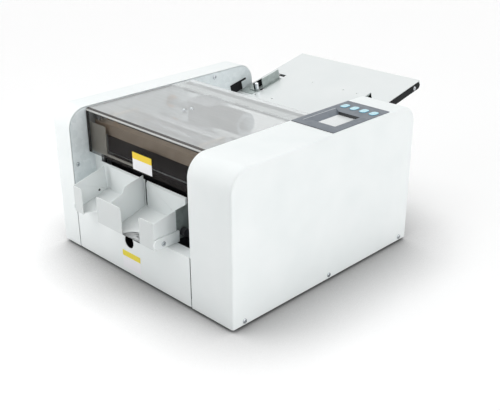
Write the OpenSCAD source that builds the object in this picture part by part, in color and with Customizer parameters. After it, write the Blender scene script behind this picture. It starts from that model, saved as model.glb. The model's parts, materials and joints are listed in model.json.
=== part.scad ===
// Desktop card cutter: an A4 sheet goes in at the back, is slit and cross-cut, and drops into two bins.
// Pieces are drawn from the cabinet's lower front left corner, and in_frame() moves them to the part's origin,
// which is the middle of the floor area.  +X is right, +Y is back and +Z is up.

/* [Cabinet] */
// Width over both side covers
body_w = 400; // [380:1:440]
// Depth of the side covers
body_d = 398; // [390:1:430]
// Height of the side covers
body_h = 230; // [226:1:240]
// Width of the left cover
left_w = 42.5; // [40:0.5:50]
// Width of the right cover, which carries the controls
right_w = 83.2; // [78:0.1:90]
// Radius of the covers' top corners at the front and the back
corner_r = 32; // [24:1:40]
// Sheet thickness of covers, tray and panels
sheet_t = 1.2; // [1:0.1:2]
// Thickness of the two frame plates
plate_t = 2; // [1.5:0.1:3]
// Height of the rubber feet
foot_h = 5; // [3:0.5:8]

/* [Paper path] */
// Height of the paper path
path_z = 150; // [148:0.5:152]
// Front to back place of the slitter shafts
slitter_y = 150; // [148:1:152]
// Front to back place of the feed roller
feed_y = 205; // [204:1:206]
// Front to back place of the exit roller
exit_y = 100; // [99:1:101]
// Radius of the slitter discs
disc_r = 25; // [24.8:0.1:25.2]
// Width of one card, which sets the slitter discs' places
card_w = 90; // [85:1:92]
// Gap between the two rows of cards
gutter_w = 6; // [4:1:8]
// Stroke of the moving knife
knife_stroke = 10; // [8:0.5:10]

/* [Window] */
// Thickness of the smoked sheet
window_t = 3; // [2:0.5:4]
// Place of the window's hinge line, from the front
hinge_y = 208; // [206:1:210]
// Height of the window's lower edge
window_low_z = 156; // [152:1:160]

/* [Card tray] */
// Place of the tray's left side
tray_x = 71.7; // [70:0.1:74]
// Width of the tray over both bins
tray_w = 192.7; // [184:0.1:196]
// How far the tray reaches in front of the covers
tray_front = 21; // [18:1:24]
// Height of the tray's front stops above the cabinet's lower edge
stop_z = 122; // [118:1:126]
// Slope of the tray's floor
tray_tilt = 16.2; // [14:0.1:17]

/* [Feed table] */
// Tilt of the feed table
table_tilt = 12.24; // [10:0.1:13]
// Place of the table's rear edge
table_end_y = 535; // [520:1:545]
// Height of the table's rear edge
table_end_z = 222; // [220:0.5:224]
// Height of the side guides above the table
guide_h = 18; // [17:1:20]

/* [Controls] */
// Front edge of the control bezel
bezel_y = 201; // [198:1:204]
// Depth of the control bezel
bezel_d = 132; // [130:1:136]
// Distance from button to button
button_pitch = 18; // [17.5:0.1:18]
// How far a button travels
button_travel = 1; // [0.8:0.1:1.2]

/* [Hidden] */
$fn = 48;

// Small distances that keep pieces apart
hair = 0.3;
seam = 1;
run_gap = 0.05;
cover_gap = 0.6;

// Inner passage between the two frame plates
pass_l = left_w + plate_t / 2;
pass_r = body_w - right_w - seam;
pass_w = pass_r - pass_l;
frame_inset = sheet_t + cover_gap;
base_t = 3;
flange_h = 14;
runner_t = 2.5;
runner_h = 9;
runner_gap = 1;
runner_span_y = [24, 210];
foot_inset = [28, 30];
foot_r = 12;
foot_tip_r = 11;
rear_panel_span_z = [0.5, 172];
vent_count = 12;
vent_pitch = 12;
vent_size = [4, 44];
vent_from = [60, 96];

// Bars between the frame plates
tie_bar_places = [[74, 112], [240, 104], [378, 60], [117, 208]];
tie_bar_r = 6;
tie_screw_depth = 10;
cross_rail_y = [232, 246];
cross_rail_low_z = 213;

// Plates behind the tray
exit_plate_t = 1.5;
exit_low_z = 82;
exit_slot_below = 9;
exit_post_w = 17;
exit_gap = [0.75, 5.75];
exit_gap_low_z = 100;
exit_side_end_y = 52;
exit_side_top_z = [128.6, 132];

// Shafts, bearings, rollers and gears
shaft_r = 6;
bearing_r = 9;
bearing_flange_r = 11;
bearing_flange_t = 1.5;
roller_r = 12;
pinch_r = 10;
tooth_module = 1.75;
slitter_teeth = 28;
pinion_teeth = 14;
idler_teeth = 22;
gear_w = 8;
gear_x = 28;
belt_x = 10;
belt_w = 8;
belt_t = 2;
motor_pulley_r = 12;
slitter_pulley_r = 24;
disc_overlap = 1;
disc_t = 2.5;
pressure_angle = 20;
backlash = 0.35;
lower_slitter = [slitter_y, path_z - disc_r + disc_overlap / 2];
upper_slitter = [slitter_y, path_z + disc_r - disc_overlap / 2];
feed_axis = [feed_y, path_z - roller_r - hair / 2];
feed_pinch_axis = [feed_y, path_z + pinch_r + hair / 2];
exit_axis = [exit_y, path_z - roller_r - hair / 2];
exit_pinch_axis = [exit_y, path_z + pinch_r + hair / 2];
motor_axis = [204, 200];
cutter_axis = [80, 198];
slitter_pitch_r = tooth_module * slitter_teeth / 2;
pinion_pitch_r = tooth_module * pinion_teeth / 2;
idler_pitch_r = tooth_module * idler_teeth / 2;
feed_idler_axis = below_meeting(lower_slitter, slitter_pitch_r + idler_pitch_r, feed_axis,
    pinion_pitch_r + idler_pitch_r, 1);
exit_idler_axis = below_meeting(lower_slitter, slitter_pitch_r + idler_pitch_r, exit_axis,
    pinion_pitch_r + idler_pitch_r, -1);

// Lines on which the sheet is slit
tray_mid_x = tray_x + tray_w / 2;
cut_lines = [for (side = [-1, 1], edge = [0, 1]) tray_mid_x + side * (gutter_w / 2 + edge * card_w)];
tyre_places = [for (k = [0 : 3]) tray_mid_x + (k - 1.5) * 56];
tyre_w = 24;
disc_play = 0.15;
hub_w = 8;
hub_r = 11;
deck_gap = 1.5;
deck_t = 1.5;
deck_lip_h = 10.5;

// Drive motor
motor_l = 62;
motor_r = 19;
gearbox_x = [112, 160];
motor_end_x = gearbox_x[1] + motor_l;
gearbox_half = 20;
motor_bracket_t = 4;
motor_disc_r = 10;
motor_disc_t = 5;
shaft_stub = 2;

// Cutter drive
cutter_module = 1.25;
cutter_teeth = 42;
cutter_pinion_teeth = 14;
cutter_gear_x = 322;
cutter_gear_w = 6;
cutter_distance = cutter_module * (cutter_teeth + cutter_pinion_teeth) / 2;
cutter_pinion_angle = -60;
cutter_pinion_axis = cutter_axis + cutter_distance * [cos(cutter_pinion_angle), sin(cutter_pinion_angle)];
pinion_shaft_r = 3;
eccentric_r = 12;
eccentric_w = 6;
eccentric_places = [80, 276];
yoke_t = 4;
yoke_play = 1.4;
yoke_wall = 6;
cutter_motor_x = [336, 386];
cutter_motor_r = 22;
cutter_plate_t = 6;
cutter_plate_y = [62, 128];
cutter_plate_z = [143, 192];
cutter_posts = [[122, 150], [68, 150], [122, 185]];
cutter_post_r = 4;

// Knives and their guides
knife_l = 66;
knife_w = 230;
beam_low_z = 190;
beam_h = 18;
beam_y = 44;
beam_d = 13;
moving_knife_y = 53.4;
moving_knife_t = 3.3;
fixed_knife_y = 57;
fixed_knife_t = 6;
knife_open = 6;
knife_rise = 3;
knife_gap = 0.5;
fixed_knife_low_z = 126;
beam_x = [49, 313];
tab_reach = 9;
tab_end_y = 60;
guide_block_w = [39.5, 31];
guide_block_y = [38, 39.5];
guide_block_top_z = 204;
seal_end_x = 148;
seal_top_z = 160.5;
rod_r = 5;
rod_y = 50;
rod_places = [55, 307];
rod_low_z = 112;
rod_top_z = 222;
tab_t = 4;

// Window sheet and its hinge
window_top_z = body_h - 1.5;
window_l = pass_l + seam;
window_w = pass_w - 2 * seam;
window_front_y = 32;
strip_end_y = 250;
hinge_z = window_top_z - window_t / 2;
knuckle_r = 2.1;
knuckle_web = 0.5;
bend_r = 5;
hinge_pin_r = 1;
knuckle_count = 9;
knuckle_w = window_w / knuckle_count;
window_screw_places = [[165, 128.4], [167.5, 141.2]];
dome_r = 3.9;
dome_flat = 1.5;
nut_h = 2.5;
nut_r = 3.8;

// Card tray
tray_back_y = 42;
tray_floor_z = 80.8;
tray_back_z = 139;
tray_side_end_y = 21;
stop_t = sheet_t;
finger_gap = [[21.1, 38.2], [118.7, 42]];
notch_r = 22;
notch_centre = 8;
back_wall_spans = [[11.8, 83.7], [102.3, 88.6]];
divider_step_y = [0, 5];
divider_low_z = [125.2, 131.5];
divider_high_z = [141, 149];
arm_t = 3;
arm_front_y = -22;
arm_low_z = 79.6;
arm_high_z = 97;
right_arm_end_y = 24;
arm_screw = [-6, 87];
tray_knob = [33, 92];
tray_knob_r = 6.5;
tray_knob_w = 9;

// Waste drawer
drawer_h = 79.2;
ledge_d = 20;
finger_hole = [177, 55.4];
finger_hole_r = 10.5;
bin_l = 60;
bin_w = 242;
bin_d = 188;
bin_h = 66;
bin_t = 1.5;
bin_lift = 0.3;
ledge_lip_z = 72.5;
drawer_low_z = 0.5;
drawer_gap = 1;

// Feed table and its guides
table_t = 1.5;
table_start_y = 221;
table_l = pass_l + 0.8;
table_w = pass_w - 1.6;
rail_t = 3;
rail_h = 12;
rail_start_y = 260;
rail_end = 7.7;
rail_screw_y = 517;
table_holes = [[147, 447.5], [217, 447.5], [247, 447.5], [123.5, 366], [84, 364]];
table_hole_r = 1.5;
guide_slot_w = 8;
guide_slot_y = 385;
guide_slots = [[58, 26, guide_slot_y], [58, 26, 444.5], [265.5, 45, guide_slot_y]];
guide_fence = [80, 290];
rear_flange_h = 10;
bracket_w = 2;
bracket_y = [345, 371];
bracket_h = 17;
bracket_arm_end_y = 382.5;
bracket_arm_low = 14;
guide_pads = [[[47, 78.5], [362, 373]], [[47, 57.8], [372, 395]], [[291.5, 313], [362, 373]]];
guide_pad_t = 0.8;
guide_t = 1.2;
guide_rise = 0.3;
fence_y = [389, 433];
under_sheet_w = 4;
under_sheet_t = 1;
base_strip_w = 18.4;
base_strip_z = [1.1, 2.3];
base_strip_y = [373.5, 433];
peg_offset = 8;
peg_play = 0.4;
under_plate_w = 12;
under_plate_t = 1.5;
under_plate_y = [379, 452];
clamp_plate_offset = 7.6;
clamp_plate_y = [375, 397];
clamp_plate_h = 14.5;
knob_offset = 3.8;
knob_y = 378.3;
knob_r = 3.6;
knob_h = 13;
knob_lift = 2.5;

// Controls
bezel_side_gap = 1.5;
bezel_x = body_w - right_w + bezel_side_gap;
bezel_w = right_w - 4;
bezel_t = 1.2;
button_x = 332.7;
button_y = 308;
button_size = [11.5, 17.5];
button_gap = 0.3;
button_rise = 1;
button_collar = 1;
button_collar_h = 4;
bezel_opening_y = [11, 7];
bezel_opening_x = [7, 3.4];
board_z = 220.5;
board_t = 1.5;
board_margin = [9, 5];
board_margin_y = [12, 8];
bezel_post_x = [12, 8];
bezel_post_y = [15, 11];
bezel_post_r = 2;
display_z = 226;
recess = [342, 223, 40.5, 57.5];
slope_x = 329;
slope_y = [214.7, 290.5];
slope_t = 0.5;
shell_wall = 1.2;
button_low_z = board_z + board_t + button_travel + 0.5;

// Power entry
inlet_x = 340;
inlet_z = 24;
inlet_size = [48, 28];
inlet_rim = 3;
inlet_rim_t = 2;
inlet_depth = 24;
socket_x = [20, 44];
socket_z = [5, 23];
socket_depth = 16;
blade_x = [25, 32, 39];
blade_z = [11, 17];
blade_setback = 4;
well_depth = 14;
rocker_at = [9, 5, 14];
rocker_size = [12, 20];
rocker_r = 11;
rocker_tilt = 8;

// Side screws: front to back places and height
side_screw_y = [22.3, 200.2, 378.5];
side_screw_z = 6;
screw_r = 2;
screw_head_r = 3.6;
screw_head_h = 1.6;
side_screw_l = 5;
frame_screws = [[9, 140.6], [304, 221], [150, 60], [384, 140]];

// Power supply and circuit board
supply_low = [340, 236];
supply_high = [394, 362, 46];
fin_count = 8;
fin_pitch = 12;
fin_w = 4;
board_x = 323;
board_sheet_t = 1.6;
board_y = [236, 366];
board_span_z = [74, 178];
board_posts_y = [242, 360];
board_posts_z = [80, 172];
board_post_r = 3;

// The rearmost point, which is the lower edge of the table's rear flange
rear_y = table_end_y + rear_flange_h * sin(table_tilt);

// The point that lies ra from a and rb from b, on the right of the way from a to b for a side of 1
function below_meeting(a, ra, b, rb, side) =
    let (gap = b - a, length_ab = norm(gap), u = gap / length_ab,
        along = (ra * ra - rb * rb + length_ab * length_ab) / (2 * length_ab),
        off = sqrt(ra * ra - along * along))
    a + along * u + side * off * [u[1], -u[0]];

// Direction in degrees from one axis to another
function bearing(a, b) = atan2(b[1] - a[1], b[0] - a[0]);

// Turn of a gear so that its teeth fill the gaps of a neighbour turned by phase_a
function mesh_phase(a, teeth_a, phase_a, b, teeth_b) =
    let (theta = bearing(a, b)) theta + 180 - ((phase_a - theta) * teeth_a + 180) / teeth_b;

// Points around an open belt that runs r1 from c1 and r2 from c2
function belt_points(c1, r1, c2, r2, steps = 24) =
    let (theta = bearing(c1, c2), phi = acos((r1 - r2) / norm(c2 - c1)))
    concat(
        [for (k = [0 : steps]) let (t = theta + phi + (360 - 2 * phi) * k / steps) c1 + r1 * [cos(t), sin(t)]],
        [for (k = [0 : steps]) let (t = theta - phi + 2 * phi * k / steps) c2 + r2 * [cos(t), sin(t)]]);

// Distance along the feed table from its rear edge, negative towards the front
function table_v(y) = -(table_end_y - y) / cos(table_tilt);

// Height of the tray's floor
function floor_z(y) = tray_floor_z + (y + tray_front) * tan(tray_tilt);

// Moves a piece from the cabinet's corner to the part's origin
module in_frame() {
    translate([-body_w / 2, -(rear_y + arm_front_y) / 2, foot_h]) children();
}

// Extrudes a front-to-back outline, drawn as [y, z], to the right from x
module along_x(x, length) {
    translate([x, 0, 0]) rotate([90, 0, 90]) linear_extrude(length) children();
}

// Extrudes an outline seen from the front, drawn as [x, z], to the back from y
module along_y(y, length) {
    translate([0, y + length, 0]) rotate([90, 0, 0]) linear_extrude(length) children();
}

// A cylinder along X at a point given as [y, z]
module rod_x(x, length, at, r) {
    translate([x, at[0], at[1]]) rotate([0, 90, 0]) cylinder(h = length, r = r);
}

// A cylinder along Y
module rod_y(x, y, z, length, r) {
    translate([x, y, z]) rotate([-90, 0, 0]) cylinder(h = length, r = r);
}

// A box between two corners
module box(low, high) {
    translate(low) cube(high - low);
}

// A slot with round ends, centred, size measured over the ends along Y
module stadium(size) {
    r = size[0] / 2;
    square([size[0], size[1] - size[0]], center = true);
    for (end = [-1, 1]) translate([0, end * (size[1] / 2 - r)]) circle(r);
}

// Outline of a side, with round top corners
module side_outline(inset, low_z) {
    r = corner_r - inset;
    top = body_h - inset;
    translate([inset, low_z]) square([body_d - 2 * inset, top - r - low_z]);
    translate([inset + r, top - r - 1]) square([body_d - 2 * inset - 2 * r, r + 1]);
    for (y = [inset + r, body_d - inset - r]) translate([y, top - r]) circle(r, $fn = 96);
}

// Outline of a gear with involute teeth and one tooth's middle on the first axis
module gear_outline(module_mm, teeth, phase) {
    pitch_r = module_mm * teeth / 2;
    base_r = pitch_r * cos(pressure_angle);
    root_r = pitch_r - 1.25 * module_mm;
    tip_r = pitch_r + 0.9 * module_mm;
    half_pitch = 90 / teeth - backlash / 2 / pitch_r * 180 / PI;
    flank = [for (k = [0 : 3]) let (r = max(base_r, root_r) + (tip_r - max(base_r, root_r)) * k / 3)
        [r, half_pitch + involute(pressure_angle) - involute(acos(min(1, base_r / r)))]];
    polygon([for (n = [0 : teeth - 1]) let (mid = phase + 360 * n / teeth) each concat(
        [polar(root_r, mid - flank[0][1] - 10 / teeth)],
        [for (p = flank) polar(p[0], mid - p[1])],
        [for (k = [3 : -1 : 0]) polar(flank[k][0], mid + flank[k][1])],
        [polar(root_r, mid + flank[0][1] + 10 / teeth)])]);
}
function involute(angle) = tan(angle) * 180 / PI - angle;
function polar(r, angle) = r * [cos(angle), sin(angle)];

// A gear on the X axis through a point given as [y, z]
module gear_x(x, width, at, module_mm, teeth, phase, hole_r) {
    difference() {
        translate([x, at[0], at[1]]) rotate([90, 0, 90]) linear_extrude(width)
            gear_outline(module_mm, teeth, phase);
        if (hole_r > 0) rod_x(x - 1, width + 2, at, hole_r);
    }
}

// Holes in a frame plate for every bearing
module bearing_holes(x, r) {
    for (at = bearing_axes) rod_x(x - 1, plate_t + 2, at, r);
}
bearing_axes = [lower_slitter, upper_slitter, feed_axis, feed_pinch_axis, exit_axis, exit_pinch_axis,
    cutter_axis];
left_bearing_axes = [motor_axis, feed_idler_axis, exit_idler_axis];

// ---- Cabinet ----

module base_plate() color("silver") in_frame() difference() {
    union() {
        box([frame_inset, frame_inset, 0], [body_w - frame_inset, body_d - frame_inset, base_t]);
        for (x = [sheet_t + 0.1, body_w - sheet_t - 0.1 - plate_t])
            box([x, frame_inset, 0], [x + plate_t, body_d - frame_inset, flange_h]);
        for (x = [bin_l - runner_gap - runner_t, bin_l + bin_w + runner_gap])
            box([x, runner_span_y[0], base_t], [x + runner_t, runner_span_y[1], base_t + runner_h]);
    }
    for (y = side_screw_y) rod_x(-1, body_w + 2, [y, side_screw_z], screw_r + run_gap);
}

module rubber_feet() color("dimgray") in_frame() {
    for (x = [foot_inset[0], body_w - foot_inset[0]], y = [foot_inset[1], body_d - foot_inset[1]])
        translate([x, y, -foot_h]) {
            cylinder(h = foot_h / 2, r1 = foot_tip_r, r2 = foot_r);
            translate([0, 0, foot_h / 2]) cylinder(h = foot_h / 2, r = foot_r);
        }
}

module frame_plate(x) difference() {
    along_x(x, plate_t) side_outline(frame_inset, base_t);
    bearing_holes(x, bearing_r);
    for (at = concat(frame_screws, tie_bar_places)) rod_x(x - 1, plate_t + 2, at, screw_r);
}

module left_frame_plate() color("lightsteelblue") in_frame() difference() {
    frame_plate(pass_l - plate_t);
    for (at = left_bearing_axes) rod_x(pass_l - plate_t - 1, plate_t + 2, at, bearing_r);
}

module right_frame_plate() color("lightsteelblue") in_frame() frame_plate(pass_r);

module left_cover() color("white") in_frame() difference() {
    along_x(0, left_w) side_outline(0, 0);
    along_x(sheet_t, left_w) side_outline(sheet_t, -1);
    for (y = side_screw_y) rod_x(-1, 4, [y, side_screw_z], screw_r + run_gap);
}

module right_cover() color("white") in_frame() difference() {
    along_x(body_w - right_w, right_w) side_outline(0, 0);
    along_x(body_w - right_w - sheet_t, right_w) side_outline(sheet_t, -1);
    for (y = side_screw_y) rod_x(body_w - 3, 4, [y, side_screw_z], screw_r + run_gap);
    box([bezel_x + bezel_opening_x[0], bezel_y + bezel_opening_y[0], body_h - 5],
        [bezel_x + bezel_w - bezel_opening_x[1], bezel_y + bezel_d - bezel_opening_y[1], body_h + 1]);
    box([inlet_x, body_d - 5, inlet_z], [inlet_x + inlet_size[0], body_d + 1, inlet_z + inlet_size[1]]);
}

// The plate behind the tray, whose upper edge is the lower edge of the card exit
module exit_plate() color("white") in_frame() along_y(tray_back_y + hair, exit_plate_t) difference() {
    translate([pass_l, exit_low_z]) {
        square([tray_x + tray_w - sheet_t - pass_l, path_z - exit_slot_below - exit_low_z]);
        square([exit_post_w, window_low_z - exit_low_z]);
    }
    // Gap beside the tray's divider
    translate([tray_mid_x + exit_gap[0], exit_gap_low_z])
        square([exit_gap[1] - exit_gap[0], path_z - exit_gap_low_z]);
}

module exit_side_plate() color("slategray") in_frame()
    along_x(tray_x + tray_w - sheet_t, sheet_t)
        polygon([[tray_side_end_y + hair, exit_low_z], [exit_side_end_y, exit_low_z],
            [exit_side_end_y, exit_side_top_z[1]], [tray_side_end_y + hair, exit_side_top_z[0]]]);

module rear_panel() color("white") in_frame() difference() {
    box([pass_l - cover_gap, body_d - frame_inset, rear_panel_span_z[0]],
        [pass_r + cover_gap, body_d - frame_inset + sheet_t, rear_panel_span_z[1]]);
    for (k = [0 : vent_count - 1]) along_y(body_d - frame_inset - 1, sheet_t + 2)
        translate([pass_l + vent_from[0] + k * vent_pitch, vent_from[1]]) stadium(vent_size);
}

module tie_bars() color("gainsboro") in_frame() {
    for (at = tie_bar_places) difference() {
        rod_x(pass_l, pass_w, at, tie_bar_r);
        rod_x(pass_l - 1, tie_screw_depth + 1, at, screw_r);
        rod_x(pass_r - tie_screw_depth, tie_screw_depth + 1, at, screw_r);
    }
    box([pass_l, cross_rail_y[0], cross_rail_low_z], [pass_r, cross_rail_y[1], window_top_z - window_t]);
}

module rear_strip() color("lightgray", 0.6) in_frame() difference() {
    union() {
        box([window_l, hinge_y + knuckle_r, window_top_z - window_t],
            [window_l + window_w, strip_end_y, window_top_z]);
        for (k = [0 : 2 : knuckle_count - 1]) knuckle(k, 0);
    }
    rod_x(window_l - 1, window_w + 2, [hinge_y, hinge_z], hinge_pin_r);
}

// One knuckle of the hinge with the web that joins it to the sheet behind (side 0) or in front (side 1)
module knuckle(k, side) {
    x = window_l + k * knuckle_w + hair / 2;
    rod_x(x, knuckle_w - hair, [hinge_y, hinge_z], knuckle_r);
    reach = knuckle_r + knuckle_web;
    web_y = side == 0 ? [hinge_y, hinge_y + reach] : [hinge_y - reach, hinge_y];
    box([x, web_y[0], hinge_z - window_t / 2], [x + knuckle_w - hair, web_y[1], hinge_z + window_t / 2]);
}

module hinge_pin() color("gainsboro") in_frame()
    rod_x(window_l, window_w, [hinge_y, hinge_z], hinge_pin_r);

// ---- Bearings, knives and paper deck ----

module plain_bearing(x, flange_x, at) difference() {
    union() {
        rod_x(x, plate_t, at, bearing_r);
        rod_x(flange_x, bearing_flange_t, at, bearing_flange_r);
    }
    rod_x(x - plate_t - 1, 3 * plate_t + 2, at, shaft_r + run_gap);
}

module shaft_bearings() color("peru") in_frame() {
    for (at = concat(bearing_axes, left_bearing_axes))
        plain_bearing(pass_l - plate_t, pass_l, at);
    for (at = bearing_axes)
        plain_bearing(pass_r, pass_r - bearing_flange_t, at);
}

module knife_guides() color("silver") in_frame() {
    for (end = [0, 1]) {
        x_wall = end == 0 ? pass_l : pass_r;
        x_tab = rod_places[end] + (end == 0 ? tab_reach : -tab_reach);
        low = min(x_wall, x_tab);
        high = max(x_wall, x_tab);
        for (z = [rod_low_z - tab_t, rod_top_z - tab_t]) difference() {
            box([low, beam_y, z], [high, tab_end_y, z + tab_t]);
            translate([rod_places[end], rod_y, z - 1]) cylinder(h = tab_t + 2, r = rod_r);
        }
        translate([rod_places[end], rod_y, rod_low_z - tab_t])
            cylinder(h = rod_top_z - rod_low_z + tab_t, r = rod_r);
        x_block = end == 0 ? pass_l : pass_r - guide_block_w[end];
        box([x_block, guide_block_y[0], window_low_z + 1],
            [x_block + guide_block_w[end], guide_block_y[1], guide_block_top_z]);
    }
    // Sealing strip along the lower edge of the window, on the left
    box([pass_l, guide_block_y[0], window_low_z + 1], [seal_end_x, guide_block_y[1], seal_top_z]);
}

module fixed_knife() color("gainsboro") in_frame()
    box([knife_l, fixed_knife_y, fixed_knife_low_z],
        [knife_l + knife_w, fixed_knife_y + fixed_knife_t, path_z - knife_gap]);

module paper_deck() color("silver") in_frame() {
    top = path_z - deck_gap;
    for (span = [[fixed_knife_y + fixed_knife_t, exit_y - roller_r - deck_gap],
                 [exit_y + roller_r + deck_gap, slitter_y - disc_r - deck_gap],
                 [slitter_y + disc_r + deck_gap, feed_y - roller_r - deck_gap]]) {
        box([pass_l, span[0], top - deck_t], [pass_r, span[1], top]);
        box([pass_l, span[0], top - deck_lip_h], [pass_r, span[0] + deck_t, top]);
    }
}

// ---- Card tray ----

module card_tray() color("white") in_frame() {
    right_x = tray_x + tray_w - sheet_t;
    // Floor with a finger notch at each gap
    difference() {
        along_x(tray_x, tray_w) polygon([
            [-tray_front, floor_z(-tray_front)], [tray_back_y, floor_z(tray_back_y)],
            [tray_back_y, floor_z(tray_back_y) - sheet_t], [-tray_front, floor_z(-tray_front) - sheet_t]]);
        for (gap = finger_gap)
            translate([tray_x + gap[0] + gap[1] / 2, -tray_front - notch_centre, 60])
                cylinder(h = 50, r = notch_r, $fn = 72);
        box([right_x - 1, tray_side_end_y, 60], [right_x + 5, 60, 120]);
    }
    // Side walls
    along_x(tray_x, sheet_t) polygon([
        [-tray_front, floor_z(-tray_front) - sheet_t], [-tray_front, stop_z],
        [tray_back_y - 4, tray_back_z - 1], [tray_back_y - 1, floor_z(tray_back_y - 1)]]);
    along_x(right_x, sheet_t) polygon([
        [-tray_front, floor_z(-tray_front) - sheet_t], [-tray_front, stop_z - 1],
        [tray_side_end_y, stop_z + 6], [tray_side_end_y, floor_z(tray_side_end_y)]]);
    // Back walls
    along_y(tray_back_y - sheet_t, sheet_t) for (span = back_wall_spans)
        translate([tray_x + span[0], floor_z(tray_back_y) - 0.5])
            square([span[1], tray_back_z - floor_z(tray_back_y) + 0.5]);
    // Front stops between and beside the finger gaps
    stops = [[0, finger_gap[0][0]], [finger_gap[0][0] + finger_gap[0][1], finger_gap[1][0]],
             [finger_gap[1][0] + finger_gap[1][1], tray_w]];
    along_y(-tray_front, stop_t) for (stop = stops)
        translate([tray_x + stop[0], floor_z(-tray_front) - sheet_t])
            square([stop[1] - stop[0], stop_z - floor_z(-tray_front) + sheet_t]);
}

module tray_divider() color("white") in_frame()
    along_x(tray_mid_x - sheet_t / 2, sheet_t) polygon([
        [-tray_front + stop_t, floor_z(-tray_front + stop_t)], [-tray_front + stop_t, divider_low_z[0]],
        [divider_step_y[0], divider_low_z[1]], [divider_step_y[1], divider_high_z[0]],
        [tray_back_y - sheet_t, divider_high_z[1]],
        [tray_back_y - sheet_t, floor_z(tray_back_y - sheet_t)]]);

// Outline of an arm under the tray, with a round front end
module arm_outline(end_y) {
    r = (arm_high_z - arm_low_z) / 2;
    translate([arm_front_y + r, arm_low_z + r]) circle(r);
    translate([arm_front_y + r, arm_low_z]) square([end_y - arm_front_y - r, 2 * r]);
}

module tray_arms() color("white") in_frame() difference() {
    union() {
        along_x(tray_x - arm_t, arm_t) arm_outline(tray_back_y + hair);
        along_x(tray_x + tray_w, arm_t) arm_outline(right_arm_end_y);
    }
    for (x = [tray_x - arm_t - 1, tray_x + tray_w]) rod_x(x, arm_t + 1, arm_screw, screw_r);
}

// ---- Feed table ----

// Places a piece on the table: the X axis is the top line of the rear edge, +Y runs up it and +Z stands off it
module on_table() in_frame()
    translate([0, table_end_y, table_end_z]) rotate([table_tilt, 0, 0]) children();

module feed_table() color("whitesmoke") on_table() difference() {
    union() {
        box([table_l, table_v(table_start_y), -table_t], [table_l + table_w, 0, 0]);
        box([table_l, -table_t, -rear_flange_h], [table_l + table_w, 0, 0]);
        // Zinc plates on which the guides slide
        for (pad = guide_pads)
            box([pad[0][0], table_v(pad[1][0]), 0], [pad[0][1], table_v(pad[1][1]), guide_pad_t]);
    }
    for (slot = guide_slots)
        translate([slot[0] + slot[1] / 2, table_v(slot[2]), -table_t - 1]) rotate([0, 0, 90])
            linear_extrude(table_t + 2) stadium([guide_slot_w, slot[1]]);
    for (at = table_holes) translate([at[0], table_v(at[1]), -table_t - 1])
        cylinder(h = table_t + 2, r = table_hole_r);
}

module table_rails() color("black") on_table() for (end = [0, 1]) {
    x = end == 0 ? pass_l : pass_r - rail_t;
    top = -table_t;
    difference() {
        union() {
            box([x, table_v(rail_start_y), top - rail_h], [x + rail_t, -rail_end, top]);
            rod_x(x, rail_t, [-rail_end, top - rail_h / 2], rail_h / 2);
        }
        rod_x(x - 1, rail_t + 2, [table_v(rail_screw_y), top - rail_h / 2], screw_r);
    }
    bracket_x = end == 0 ? pass_l : pass_r - bracket_w;
    box([bracket_x, table_v(bracket_y[0]), 0], [bracket_x + bracket_w, table_v(bracket_y[1]), bracket_h]);
    box([bracket_x, table_v(bracket_y[0]), bracket_arm_low],
        [bracket_x + bracket_w, table_v(bracket_arm_end_y), bracket_h]);
}

// A side guide: side is 1 when the sheet lies to the right of the fence, -1 when to the left
module side_guide(fence_x, side) {
    // Fence and the foot that lies under the sheet's edge
    span_x(fence_x, -side * guide_t, fence_y, [guide_rise, guide_h]);
    span_x(fence_x, side * under_sheet_w, fence_y, [guide_rise, guide_rise + under_sheet_t]);
    // Base outside the fence, and the plate under the table that a peg through the front slot joins to it
    span_x(fence_x, -side * (guide_t + base_strip_w), base_strip_y, base_strip_z);
    peg_x = fence_x - side * peg_offset;
    under_top = -table_t - guide_rise;
    translate([peg_x, table_v(guide_slot_y), under_top - under_plate_t])
        cylinder(h = base_strip_z[1] - under_top + under_plate_t, r = guide_slot_w / 2 - peg_play);
    span_x(peg_x - under_plate_w / 2, under_plate_w, under_plate_y, [under_top - under_plate_t, under_top]);
    // Clamp plate beside the knob
    span_x(fence_x - side * clamp_plate_offset, -side * guide_t, clamp_plate_y, [base_strip_z[0], clamp_plate_h]);
}

// A box on the table, from x over a signed width, with its span over the floor and its span in height
module span_x(x, width, y, z) {
    box([min(x, x + width), table_v(y[0]), z[0]], [max(x, x + width), table_v(y[1]), z[1]]);
}

module left_guide() color("silver") on_table() side_guide(guide_fence[0], 1);
module right_guide() color("silver") on_table() side_guide(guide_fence[1], -1);

// The round knob that clamps a guide
module guide_knob(x) translate([x, table_v(knob_y), knob_lift]) {
    cylinder(h = knob_h - 1, r = knob_r);
    cylinder(h = knob_h, r = knob_r - 1);
}
module left_guide_knob() color("gainsboro") on_table() guide_knob(guide_fence[0] - knob_offset);
module right_guide_knob() color("gainsboro") on_table() guide_knob(guide_fence[1] + knob_offset);

// ---- Drives and electrics ----

// A geared motor along the X axis, whose bracket hangs from the cross rail
module drive_motor() color("gray") in_frame() difference() {
    bracket_half = gearbox_half + 2;
    union() {
        box([gearbox_x[0], motor_axis[0] - gearbox_half, motor_axis[1] - gearbox_half],
            [gearbox_x[1], motor_axis[0] + gearbox_half, motor_axis[1] + gearbox_half]);
        rod_x(gearbox_x[1], motor_l, motor_axis, motor_r);
        box([gearbox_x[0] - motor_bracket_t, motor_axis[0] - gearbox_half, motor_axis[1] - bracket_half],
            [gearbox_x[0], cross_rail_y[0], motor_axis[1] + bracket_half]);
    }
    rod_x(gearbox_x[0] - motor_bracket_t - 1, motor_end_x - gearbox_x[0] + motor_bracket_t + 2, motor_axis,
        shaft_r + run_gap);
}

module drive_belt() color("black") in_frame() difference() {
    along_x(belt_x, belt_w) polygon(belt_points(motor_axis, motor_pulley_r + hair + belt_t,
        upper_slitter, slitter_pulley_r + hair + belt_t));
    along_x(belt_x - 1, belt_w + 2) polygon(belt_points(motor_axis, motor_pulley_r + hair,
        upper_slitter, slitter_pulley_r + hair));
}

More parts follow.
